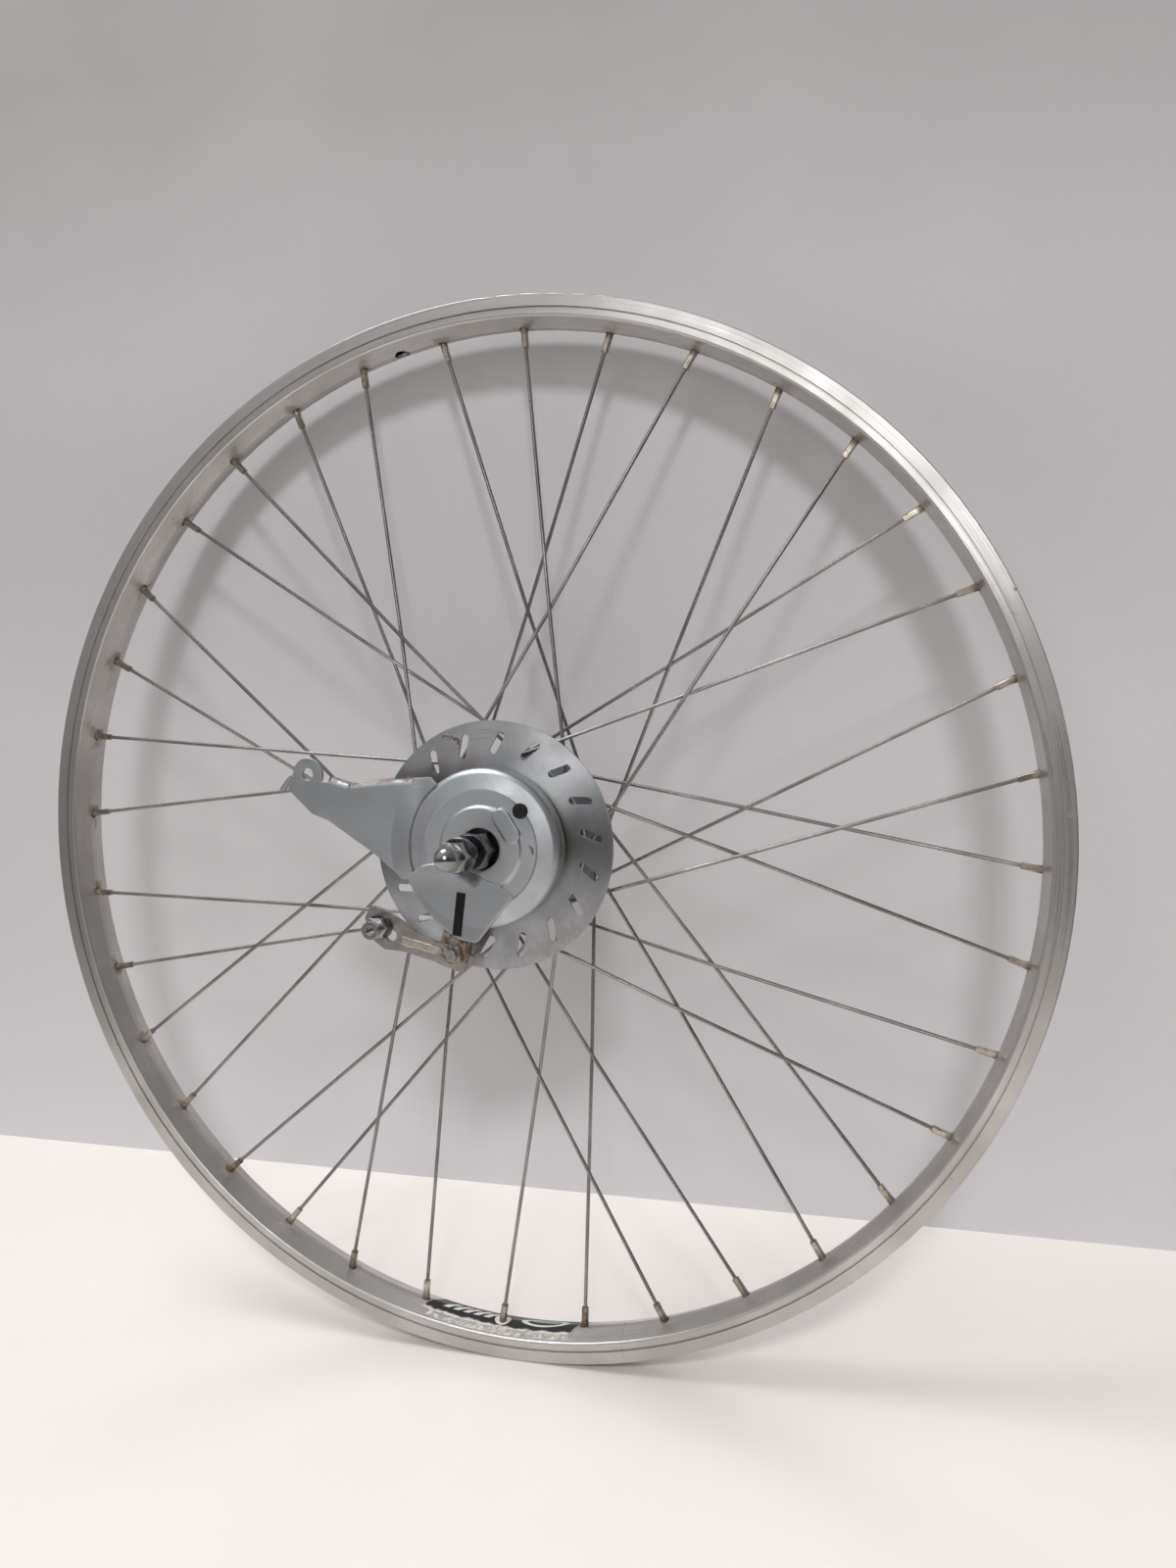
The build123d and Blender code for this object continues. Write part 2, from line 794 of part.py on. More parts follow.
with BuildPart() as disc_rivets:
    with BuildSketch(face_at(disc_back_y)):
        with PolarLocations(rivet_circle_radius, rivet_count):
            Circle(rivet_diameter / 2)
    extrude(amount=disc_back_y - web_front_y)
    with BuildSketch(face_at(disc_back_y + rivet_head_height)):
        with PolarLocations(rivet_circle_radius, rivet_count):
            Circle(rivet_head_diameter / 2)
    extrude(amount=rivet_head_height)
finish(disc_rivets.part, "disc_rivets")

# Brake bush: the sleeve that the cam turns on, opening into a cup for the fixing nut and a flange for the cover
bush_bore = left_sleeve_radius + bush_bore_clearance
cup_inside = cover_hole_radius
cup_outside = cup_inside + bush_wall
brake_bush = turned(
    (bush_bore, brake_inner_y),
    (bush_radius, brake_inner_y),
    (bush_radius, cam_arm_front_y - spring_gap),
    (cup_outside, cam_arm_front_y - spring_gap),
    (cup_outside, bush_flange_back_y),
    (bush_flange_radius, bush_flange_back_y),
    (bush_flange_radius, bush_flange_front_y),
    (cup_inside, bush_flange_front_y),
    (cup_inside, bush_floor_y),
    (bush_bore, bush_floor_y),
)
finish(brake_bush, "brake_bush")

# Brake cam: each ramp lifts a roller as the lever turns it
ramp_count = 2 * shoe_count
ramp_pitch = 360 / ramp_count
roller_angles = [first_shoe_angle + ramp_pitch * (n + 0.5) for n in range(ramp_count)]
cam_low = roller_circle_radius - roller_radius - cam_roller_gap
cam_rise = shoe_travel / lever_swing
ramp_back = -ramp_lead
ramp_front = lever_swing + ramp_overrun


def ramp_point(roller_angle, turn):
    # the ramp rises in the direction that meets the roller as the cam turns clockwise
    return polar(cam_low + cam_rise * turn, roller_angle + turn)


with BuildPart() as brake_cam:
    with BuildSketch(face_at(brake_inner_y)):
        with BuildLine():
            for n, angle in enumerate(roller_angles):
                ThreePointArc(
                    ramp_point(angle, ramp_back),
                    ramp_point(angle, (ramp_back + ramp_front) / 2),
                    ramp_point(angle, ramp_front),
                )
                next_angle = angle + ramp_pitch
                Line(ramp_point(angle, ramp_front), ramp_point(next_angle, ramp_back))
        make_face()
        Circle(bush_radius + cam_bore_clearance, mode=Mode.SUBTRACT)
    extrude(amount=brake_inner_y - cam_arm_back_y)
finish(brake_cam.part, "brake_cam")

# Cam arm: a ring on the cam's face with a tongue that leaves the cover through its window
with BuildPart() as cam_arm:
    with BuildSketch(face_at(cam_arm_back_y)):
        Circle(cam_ring_radius)
        tongue_middle = polar(cam_arm_reach / 2, cam_arm_angle)
        with Locations(Location((*tongue_middle, 0), (0, 0, cam_arm_angle))):
            RectangleRounded(cam_arm_reach, cam_arm_width, lever_fillet)
        Circle(bush_radius + cam_bore_clearance, mode=Mode.SUBTRACT)
        with Locations(lever_rivet_place):
            Circle(lever_rivet_radius, mode=Mode.SUBTRACT)
    extrude(amount=cam_arm_thickness)
finish(cam_arm.part, "cam_arm")

# Shoes and their rollers, and the plate that spaces the rollers
shoe_outer = drum_inner_radius - shoe_gap
shoe_inner = roller_circle_radius + roller_radius + shoe_roller_gap
roller_start_y = brake_inner_y - roller_plate_thickness - edge_clearance
for n in range(shoe_count):
    shoe_angle = first_shoe_angle + n * 360 / shoe_count
    with BuildPart() as brake_shoe:
        with BuildSketch(face_at(brake_inner_y)):
            with BuildLine():
                arc_start = shoe_angle - shoe_span / 2
                outer_arc = CenterArc((0, 0), shoe_outer, arc_start, shoe_span)
                inner_arc = CenterArc((0, 0), shoe_inner, arc_start, shoe_span)
                Line(outer_arc @ 0, inner_arc @ 0)
                Line(outer_arc @ 1, inner_arc @ 1)
            make_face()
        extrude(amount=brake_inner_y - brake_outer_y)
    finish(brake_shoe.part, f"brake_shoe_{n + 1}")
    with BuildPart() as shoe_rollers:
        for turn in (-ramp_pitch / 2, ramp_pitch / 2):
            place = polar(roller_circle_radius, shoe_angle + turn)
            with BuildSketch(face_at(roller_start_y)):
                with Locations(place):
                    Circle(roller_radius)
            extrude(amount=roller_start_y - brake_outer_y)
            with BuildSketch(face_at(roller_start_y + roller_pin_length)):
                with Locations(place):
                    Circle(roller_pin_radius)
            extrude(amount=roller_pin_length)
    finish(shoe_rollers.part, f"shoe_rollers_{n + 1}")

with BuildPart() as roller_plate:
    with BuildSketch(face_at(brake_inner_y)):
        Circle(shoe_inner - roller_pin_play)
        Circle(cam_low + cam_rise * ramp_front + roller_pin_play, mode=Mode.SUBTRACT)
        with PolarLocations(roller_circle_radius, ramp_count, start_angle=roller_angles[0]):
            Circle(roller_pin_radius + roller_pin_play, mode=Mode.SUBTRACT)
    extrude(amount=roller_plate_thickness)
finish(roller_plate.part, "roller_plate")

recess_back_y = recess_front_y + cover_sheet
with BuildPart() as anchor_pins:
    first_anchor_angle = first_shoe_angle + 180 / shoe_count
    with BuildSketch(face_at(roller_start_y)):
        with PolarLocations(anchor_circle_radius, shoe_count, start_angle=first_anchor_angle):
            Circle(anchor_radius)
    extrude(amount=roller_start_y - recess_back_y)
finish(anchor_pins.part, "anchor_pins")

# Return spring: an open turn of wire round the bush with a leg that follows the tongue and ends in a hook
with BuildPart() as return_spring:
    with BuildLine(face_at(spring_y)):
        coil = CenterArc((0, 0), spring_coil_radius, spring_leg_angle + 60, 300)
        leg_end = polar(spring_reach, spring_leg_angle)
        hook_end = (leg_end[0] + spring_hook, leg_end[1] + spring_hook)
        FilletPolyline(coil @ 1, leg_end, hook_end, radius=spring_wire)
    with BuildSketch(Plane(origin=point(spring_coil_radius, spring_leg_angle + 60, spring_y),
                           z_dir=point(1, spring_leg_angle + 150, 0))):
        Circle(spring_wire / 2)
    sweep(transition=Transition.ROUND)
finish(return_spring.part, "return_spring")

# Brake cover and reaction arm, stamped together from one sheet
plateau_edge = (plateau_radius, plateau_front_y)
plateau_foot = (plateau_radius + plateau_step, recess_front_y)
band_end = (cover_radius - 2 * cover_sheet, band_front_y + band_drop)
corner = (cover_radius, plateau_front_y + corner_drop)
cover_profile = [
    (cover_hole_radius, plateau_front_y),
    plateau_edge,
    plateau_foot,
    (recess_radius, recess_front_y),
    (recess_radius + band_rise, band_front_y),
    band_end,
    corner,
    (cover_radius, skirt_edge_y),
    (cover_radius - cover_sheet, skirt_edge_y),
    (cover_radius - cover_sheet, corner[1]),
    (band_end[0] - cover_sheet / 2, band_end[1] + cover_sheet),
    (recess_radius + band_rise, band_front_y + cover_sheet),
    (recess_radius, recess_back_y),
    (plateau_radius + plateau_step - cover_sheet / 2, recess_back_y),
    (plateau_radius - cover_sheet / 2, bush_flange_front_y),
    (cover_hole_radius, bush_flange_front_y),
]
arm_top = [(-38.6, 35.7), (-60.5, 34.4), (-75.5, 32.9), (-86.5, 36.2)]
arm_notch = [(-87.6, 33.9), (-92.0, 33.9)]
arm_end = [(-107.6, 39.0), (-111.6, 33.0), (-110.6, 28.9)]
arm_bottom = [(-97.5, 16.6), (-88.0, 13.2), (-62.5, -3.6), (-45.5, -17.1)]
arm_root = [(-30.0, -15.0), (-15.0, 25.0), (-28.0, 36.3)]
lobe_start = (-40.5, -14.9)
lobe_side = (-29.6, -32.8)
lobe_low = (-11.6, -46.8)
lobe_tip = (-2.6, -48.3)
lobe_end = (17.4, -23.8)
lobe_root = (-32.5, -8.9)

with BuildPart() as cover_dish:
    # pressed dish with soft bends in front
    with BuildSketch(Plane.XY) as dish_sketch:
        with BuildLine():
            Polyline(*cover_profile, close=True)
        make_face()
        fillet(corners_at(dish_sketch, plateau_edge, plateau_foot), radius=plateau_bend)
        fillet(corners_at(dish_sketch, band_end, corner), radius=corner_bend)
    revolve(axis=Axis.Y)

with BuildPart() as arm_sheet_shape:
    # flat arm with a ramp up to the cover, trimmed to the arm's outline
    add(turned(
        (cover_radius - cover_sheet / 2, plateau_front_y + ramp_drop),
        (cover_radius - cover_sheet / 2, plateau_front_y + ramp_drop + arm_sheet),
        (ramp_foot_radius, reaction_arm_front_y + arm_sheet),
        (2 * rim_radius / 3, reaction_arm_front_y + arm_sheet),
        (2 * rim_radius / 3, reaction_arm_front_y),
        (ramp_foot_radius, reaction_arm_front_y),
    ))
    with BuildSketch(face_at(skirt_edge_y)):
        with BuildLine():
            Polyline(*arm_top, *arm_notch, *arm_end, *arm_bottom, *arm_root, close=True)
        make_face()
        with Locations(eye_place):
            Circle(eye_radius)
            Circle(eye_hole_radius, mode=Mode.SUBTRACT)
    extrude(amount=skirt_edge_y - lobe_front_y, mode=Mode.INTERSECT)

with BuildPart() as cover_lobe:
    with BuildSketch(face_at(lobe_front_y + lobe_thickness)) as lobe_sketch:
        with BuildLine():
            ThreePointArc(lobe_start, lobe_side, lobe_low)
            Line(lobe_low, lobe_tip)
            Line(lobe_tip, lobe_end)
            Polyline(lobe_end, polar(plateau_radius, -60), polar(plateau_radius, -160), lobe_root, lobe_start)
        make_face()
        lobe_corners = [v for v in lobe_sketch.vertices() if v.Y < lobe_low[1] + 1]
        fillet(lobe_corners, radius=lobe_corner_radius)
    extrude(amount=lobe_thickness)
    lobe_edges = [
        e for e in cover_lobe.edges().filter_by(Plane.XZ)
        if abs(e.center().Y - lobe_front_y) < 0.01 and Vector(e.center().X, 0, e.center().Z).length > recess_radius
    ]
    fillet(lobe_edges, radius=lobe_fillet)

with BuildPart() as cover_pill:
    # raised pill beside the hole
    with BuildSketch(face_at(recess_back_y)):
        with Locations(Location((*emboss_place, 0), (0, 0, emboss_angle))):
            SlotOverall(emboss_length, emboss_width)
    extrude(amount=recess_back_y - plateau_front_y + emboss_rise)
    fillet(cover_pill.faces().sort_by(Axis.Y)[0].edges(), radius=emboss_fillet)

with BuildPart() as brake_cover:
    add(cover_dish.part)
    add(arm_sheet_shape.part)
    # lip along the top of the arm, bent back
    with BuildSketch(face_at(reaction_arm_front_y + arm_lip_depth)):
        with BuildLine():
            lip_under = [(x, z - arm_lip_wall) for x, z in reversed(arm_top)]
            Polyline(*arm_top, *lip_under, close=True)
        make_face()
        Circle(cover_radius - cover_sheet / 2, mode=Mode.SUBTRACT)
    extrude(amount=arm_lip_depth)
    for start, end in zip(arm_top, arm_top[1:]):
        # round the bend along one straight stretch of the top edge
        bend_start = Vector(start[0], reaction_arm_front_y, start[1])
        bend_run = Vector(end[0], reaction_arm_front_y, end[1]) - bend_start
        with BuildSketch(Plane(origin=bend_start, x_dir=(0, 1, 0), z_dir=bend_run)):
            Rectangle(arm_bend_radius, arm_bend_radius, align=(Align.MIN, Align.MIN))
            with Locations((arm_bend_radius, arm_bend_radius)):
                Circle(arm_bend_radius, mode=Mode.SUBTRACT)
        extrude(amount=bend_run.length, mode=Mode.SUBTRACT)
    # bent tab at the end of the arm
    tab_foot = Location((arm_end[1][0], arm_end[1][1], 0), (0, 0, 50))
    with BuildSketch(face_at(reaction_arm_front_y + arm_sheet)):
        with Locations(tab_foot):
            Rectangle(2 * tab_height, tab_thickness)
    extrude(amount=arm_sheet + tab_height / 2)
    # window that the tongue and the spring's leg swing in
    with BuildSketch(face_at(skirt_edge_y + cover_sheet)):
        with BuildLine():
            window_span = window_to_angle - window_from_angle
            near_arc = CenterArc((0, 0), recess_radius + band_rise, window_from_angle, window_span)
            far_arc = CenterArc((0, 0), cover_radius + cover_sheet, window_from_angle, window_span)
            Line(near_arc @ 0, far_arc @ 0)
            Line(near_arc @ 1, far_arc @ 1)
        make_face()
    extrude(amount=skirt_edge_y + cover_sheet - lobe_front_y, mode=Mode.SUBTRACT)
    # raised lobe over the window
    add(cover_lobe.part)
    add(cover_pill.part)
    # room under them for the bush's flange
    bush_room = bush_flange_radius + thread_fit
    room_end = recess_back_y + cover_sheet
    add(turned((0, bush_flange_front_y), (bush_room, bush_flange_front_y), (bush_room, room_end), (0, room_end)),
        mode=Mode.SUBTRACT)
    # hole for the plug
    with BuildSketch(face_at(recess_back_y + cover_sheet)):
        with Locations(plug_place):
            Circle(plug_hole_radius)
    extrude(amount=4 * cover_sheet, mode=Mode.SUBTRACT)
finish(brake_cover.part, "brake_cover")

# Rubber plug in the grease port
with BuildPart() as grease_plug:
    with BuildSketch(face_at(band_front_y)):
        with Locations(plug_place):
            Circle(plug_head_radius)
    extrude(amount=plug_head_height)
    with BuildSketch(face_at(recess_back_y + plug_stem_length)):
        with Locations(plug_place):
            Circle(plug_hole_radius - plug_fit)
    extrude(amount=recess_back_y + plug_stem_length - band_front_y)
finish(grease_plug.part, "grease_plug")

# Lever: flat stamping with a pressed bead, a hole for the clamp bolt and an oblong opening beside it
lever_outline = [
    (-62.3, -30.4), (-53.3, -33.4), (-43.4, -39.4), (-36.4, -44.8), (-25.5, -48.8), (-13.0, -50.6),
    (-11.5, -59.0), (-28.5, -58.6), (-44.4, -54.4), (-55.3, -53.6), (-63.5, -47.5), (-66.0, -37.0),
]
bead_from = (-44.5, -48.6)
bead_to = (-24.5, -53.2)
with BuildPart() as brake_lever:
    with BuildSketch(face_at(cam_arm_front_y)) as lever_sketch:
        with BuildLine():
            FilletPolyline(*lever_outline, radius=lever_fillet, close=True)
        make_face()
        with Locations(clamp_place):
            Circle(clamp_shank_radius + clamp_hole_clearance, mode=Mode.SUBTRACT)
        with Locations(clamp_slot_place):
            Circle(clamp_slot_radius, mode=Mode.SUBTRACT)
        with Locations(lever_rivet_place):
            Circle(lever_rivet_radius, mode=Mode.SUBTRACT)
    extrude(amount=lever_thickness)
    with BuildSketch(face_at(lever_front_y)):
        bead_middle = ((bead_from[0] + bead_to[0]) / 2, (bead_from[1] + bead_to[1]) / 2)
        SlotCenterPoint(bead_middle, bead_to, bead_width)
    extrude(amount=bead_height_on_lever)
    bead_edges = [e for e in brake_lever.edges() if abs(e.center().Y - lever_front_y + bead_height_on_lever) < 0.01]
    fillet(bead_edges, radius=bead_height_on_lever * 0.8)
finish(brake_lever.part, "brake_lever")

# Rivet that holds the lever to the cam arm
with BuildPart() as lever_rivet:
    with BuildSketch(face_at(cam_arm_back_y)):
        with Locations(lever_rivet_place):
            Circle(lever_rivet_radius)
    extrude(amount=cam_arm_thickness + lever_thickness)
    with BuildSketch(face_at(lever_front_y)):
        with Locations(lever_rivet_place):
            Circle(lever_rivet_head_radius)
    extrude(amount=lever_rivet_head_height, taper=20)
    with BuildSketch(face_at(cam_arm_back_y)):
        with Locations(lever_rivet_place):
            Circle(lever_rivet_head_radius)
    extrude(amount=-lever_rivet_head_height / 2)
finish(lever_rivet.part, "lever_rivet")

# Cable clamp: a hexagon bolt with a hollow collar in front, a thick washer, and a nut behind the lever
clamp_head_y = lever_front_y - clamp_washer_thickness
clamp_collar_y = clamp_head_y - clamp_hex_height
clamp_front_y = clamp_collar_y - clamp_collar_length
clamp_tail_y = cam_arm_front_y + clamp_nut_height
with BuildPart() as cable_clamp_washer:
    with BuildSketch(face_at(lever_front_y)):
        with Locations(clamp_place):
            Circle(clamp_washer_radius)
            Circle(clamp_shank_radius + clamp_hole_clearance, mode=Mode.SUBTRACT)
    extrude(amount=clamp_washer_thickness)
finish(cable_clamp_washer.part, "cable_clamp_washer")

with BuildPart() as cable_clamp_bolt:
    with BuildSketch(face_at(clamp_tail_y)):
        with Locations(clamp_place):
            Circle(clamp_shank_radius)
    extrude(amount=clamp_tail_y - clamp_head_y)
    with BuildSketch(face_at(clamp_head_y)):
        with Locations(clamp_place):
            RegularPolygon(clamp_hex_flats / 2, 6, major_radius=False)
    extrude(amount=clamp_hex_height)
    with BuildSketch(face_at(clamp_collar_y)):
        with Locations(clamp_place):
            Circle(clamp_collar_radius)
    extrude(amount=clamp_collar_length)
    with BuildSketch(face_at(clamp_front_y + clamp_socket_depth)):
        with Locations(clamp_place):
            Circle(clamp_socket_radius)
    extrude(amount=clamp_socket_depth, mode=Mode.SUBTRACT)
finish(cable_clamp_bolt.part, "cable_clamp_bolt")

with BuildPart() as cable_clamp_nut:
    with BuildSketch(face_at(clamp_tail_y)):
        with Locations(clamp_place):
            RegularPolygon(clamp_nut_flats / 2, 6, major_radius=False)
            Circle(clamp_shank_radius + thread_fit, mode=Mode.SUBTRACT)
    extrude(amount=clamp_nut_height)
finish(cable_clamp_nut.part, "cable_clamp_nut")

# Driver: a tube that turns on the right cone's sleeve, with a hexagon for the clutch and lugs for the sprocket
clutch_race_radius = shell_bore - clutch_race_wall
clutch_circle_radius = clutch_race_radius - clutch_race_gap - clutch_roller_radius
clutch_flat = clutch_circle_radius - clutch_roller_radius - clutch_roller_gap
sprocket_end_y = sprocket_y + sprocket_thickness
snap_ring_end_y = sprocket_end_y + lug_clearance + snap_ring_thickness
with BuildPart() as driver:
    add(ring(driver_bore, driver_radius, clutch_start_y, driver_end_y))
    with BuildSketch(face_at(clutch_end_y)):
        RegularPolygon(clutch_flat, clutch_count, major_radius=False)
        Circle(driver_bore, mode=Mode.SUBTRACT)
    extrude(amount=clutch_length)
    add(ring(driver_bore, sprocket_shoulder_radius, sprocket_y - sprocket_shoulder, sprocket_y))
    with BuildSketch(face_at(sprocket_end_y)):
        with PolarLocations(driver_radius, lug_count):
            Rectangle(2 * (lug_radius - driver_radius), lug_width)
        Circle(driver_bore, mode=Mode.SUBTRACT)
    extrude(amount=sprocket_thickness)
    groove = ring(driver_radius - snap_groove_depth, snap_ring_radius, sprocket_end_y, snap_ring_end_y + lug_clearance)
    add(groove, mode=Mode.SUBTRACT)
finish(driver.part, "driver")

finish(ring(right_sleeve_radius + bush_running_fit, driver_bore, clutch_start_y, driver_end_y), "driver_bush")
finish(ring(clutch_race_radius, shell_bore, clutch_start_y - edge_clearance, clutch_end_y), "clutch_race")

roller_end_y = clutch_end_y - edge_clearance
with BuildPart() as clutch_rollers:
    with BuildSketch(face_at(roller_end_y)):
        with PolarLocations(clutch_circle_radius, clutch_count, start_angle=180 / clutch_count):
            Circle(clutch_roller_radius)
    extrude(amount=roller_end_y - clutch_start_y - edge_clearance)
    with BuildSketch(face_at(roller_end_y + clutch_pin_length)):
        with PolarLocations(clutch_circle_radius, clutch_count, start_angle=180 / clutch_count):
            Circle(clutch_pin_radius)
    extrude(amount=clutch_pin_length)
finish(clutch_rollers.part, "clutch_rollers")

clutch_plate_radius = clutch_race_radius - edge_clearance
with BuildPart() as clutch_plate:
    with BuildSketch(face_at(clutch_end_y + clutch_plate_thickness)):
        Circle(clutch_plate_radius)
        Circle(driver_radius + bush_running_fit, mode=Mode.SUBTRACT)
        with PolarLocations(clutch_circle_radius, clutch_count, start_angle=180 / clutch_count):
            Circle(clutch_pin_radius + lug_clearance, mode=Mode.SUBTRACT)
    extrude(amount=clutch_plate_thickness)
finish(clutch_plate.part, "clutch_plate")

cover_gap = driver_radius + dust_cap_gap
finish(ring(cover_gap, shell_bore, shell_right_y - dust_cap_thickness, shell_right_y), "right_dust_cover")

# Sprocket: tooth gaps cut round the chain rollers' circle
pitch_radius = chain_pitch / 2 / sin(radians(180 / sprocket_teeth))
with BuildPart() as sprocket:
    with BuildSketch(face_at(sprocket_end_y)):
        Circle(pitch_radius + sprocket_tip_height)
        with PolarLocations(pitch_radius, sprocket_teeth):
            Circle(chain_roller_radius, mode=Mode.SUBTRACT)
            Polygon(
                (0, -chain_roller_radius),
                (sprocket_tip_height + chain_roller_radius, -sprocket_tip_gap - chain_roller_radius),
                (sprocket_tip_height + chain_roller_radius, sprocket_tip_gap + chain_roller_radius),
                (0, chain_roller_radius),
                align=None,
                mode=Mode.SUBTRACT,
            )
        Circle(driver_radius + lug_clearance, mode=Mode.SUBTRACT)
        with PolarLocations(driver_radius, lug_count):
            lug_depth = 2 * (lug_radius - driver_radius + lug_clearance)
            Rectangle(lug_depth, lug_width + 2 * lug_clearance, mode=Mode.SUBTRACT)
    extrude(amount=sprocket_thickness)
finish(sprocket.part, "sprocket")

# Snap ring that keeps the sprocket on the driver
with BuildPart() as snap_ring:
    with BuildSketch(face_at(snap_ring_end_y)):
        Circle(snap_ring_radius)
        Circle(driver_radius - snap_groove_depth + lug_clearance, mode=Mode.SUBTRACT)
        with Locations((0, snap_ring_radius)):
            Rectangle(snap_ring_gap, snap_ring_radius, mode=Mode.SUBTRACT)
    extrude(amount=snap_ring_thickness)
finish(snap_ring.part, "snap_ring")
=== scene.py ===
import bpy
import math
import numpy as np
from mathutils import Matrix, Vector


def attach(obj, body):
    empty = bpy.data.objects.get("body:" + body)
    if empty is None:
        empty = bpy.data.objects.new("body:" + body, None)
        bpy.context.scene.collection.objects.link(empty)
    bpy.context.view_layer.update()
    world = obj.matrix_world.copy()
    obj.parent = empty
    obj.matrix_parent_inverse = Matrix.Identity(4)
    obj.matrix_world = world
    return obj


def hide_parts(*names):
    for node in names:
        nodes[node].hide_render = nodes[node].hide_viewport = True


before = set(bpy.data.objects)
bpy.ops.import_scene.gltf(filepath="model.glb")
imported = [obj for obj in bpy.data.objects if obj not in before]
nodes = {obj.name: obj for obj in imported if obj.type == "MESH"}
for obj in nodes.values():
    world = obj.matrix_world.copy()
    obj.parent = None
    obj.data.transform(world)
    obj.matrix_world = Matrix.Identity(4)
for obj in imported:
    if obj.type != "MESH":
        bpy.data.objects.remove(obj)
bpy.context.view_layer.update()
mm = 0.001
print("frame loaded:", len(nodes), "nodes")


def hexColour(text):
    # sRGB hex to linear: below the toe a straight line, above it a power of 2.4
    parts = [int(text[i:i + 2], 16) / 255 for i in (1, 3, 5)]
    return (*[p / 12.92 if p <= 0.04045 else ((p + 0.055) / 1.055) ** 2.4 for p in parts], 1.0)


def join(tree, source, socket):
    # joins an output, or a node's first output, to a socket
    tree.links.new(source if isinstance(source, bpy.types.NodeSocket) else source.outputs[0], socket)


def addNode(tree, kind, settings=None, links=None):
    # one shader node: settings fill its sockets or properties, links join other nodes or outputs to it
    node = tree.nodes.new("ShaderNode" + kind)
    for name, value in (settings or {}).items():
        if isinstance(name, int) or name in node.inputs:
            node.inputs[name].default_value = value
        else:
            setattr(node, name, value)
    for name, source in (links or {}).items():
        join(tree, source, node.inputs[name])
    return node


def calc(tree, operation, *values):
    # one Math node, over numbers and outputs
    node = addNode(tree, "Math", {"operation": operation})
    for socket, value in zip(node.inputs, values):
        if isinstance(value, (int, float)):
            socket.default_value = value
        else:
            join(tree, value, socket)
    return node.outputs[0]


def vectorCalc(tree, operation, *values):
    # one VectorMath node, over vectors and outputs
    node = addNode(tree, "VectorMath", {"operation": operation})
    for socket, value in zip(node.inputs, values):
        if isinstance(value, tuple):
            socket.default_value = value
        else:
            join(tree, value, socket)
    return node.outputs["Value" if operation in ("LENGTH", "DISTANCE", "DOT_PRODUCT") else "Vector"]


def ramp(tree, source, low, high, toLow=0.0, toHigh=1.0):
    # toLow up to low, toHigh from high on, and a straight line between; low may be the larger of the two
    return addNode(tree, "MapRange", {1: low, 2: high, 3: toLow, 4: toHigh}, {0: source}).outputs[0]


def perSize(size):
    # the noise scale whose marks are about that many millimetres wide
    return 1 / (size * mm)


def noise(tree, vector, scale, detail, roughness=0.5):
    settings = {"Scale": scale, "Detail": detail, "Roughness": roughness}
    return addNode(tree, "TexNoise", settings, {"Vector": vector}).outputs[0]


def wheelCoords(tree):
    # Object coordinates, and the same place as radius from the axle, turn about it and distance along it
    place = addNode(tree, "TexCoord").outputs["Object"]
    axes = addNode(tree, "SeparateXYZ", {}, {0: place}).outputs
    radius = vectorCalc(tree, "LENGTH", vectorCalc(tree, "MULTIPLY", place, (1, 0, 1)))
    turn = calc(tree, "ARCTAN2", axes["Z"], axes["X"])
    return {"place": place, "radius": radius, "turn": turn,
            "right": axes["X"], "along": axes["Y"], "up": axes["Z"]}


# What all surfaces share: how sharp clouds, grain, stains and torn edges are, and how far a cloud smooths
surfaceLook = {
    "cloudRange": (0.36, 0.64), "cloudDetail": 4.0, "grainRange": (0.3, 0.7), "grainDetail": 3.0,
    "smudge": -0.08, "stainRange": (0.78, 0.95), "stainShift": 0.4, "stainDetail": 6.0,
    "stainRoughness": 0.62, "stainShare": 0.7, "stainRough": 0.12, "strength": 0.25, "bevelSamples": 4,
    "edgeSame": (0.985, 0.86), "tearDetail": 5.0, "tearRoughness": 0.65, "tearRange": (0.25, 0.75),
    "tearSize": 0.7, "core": 0.35,
}


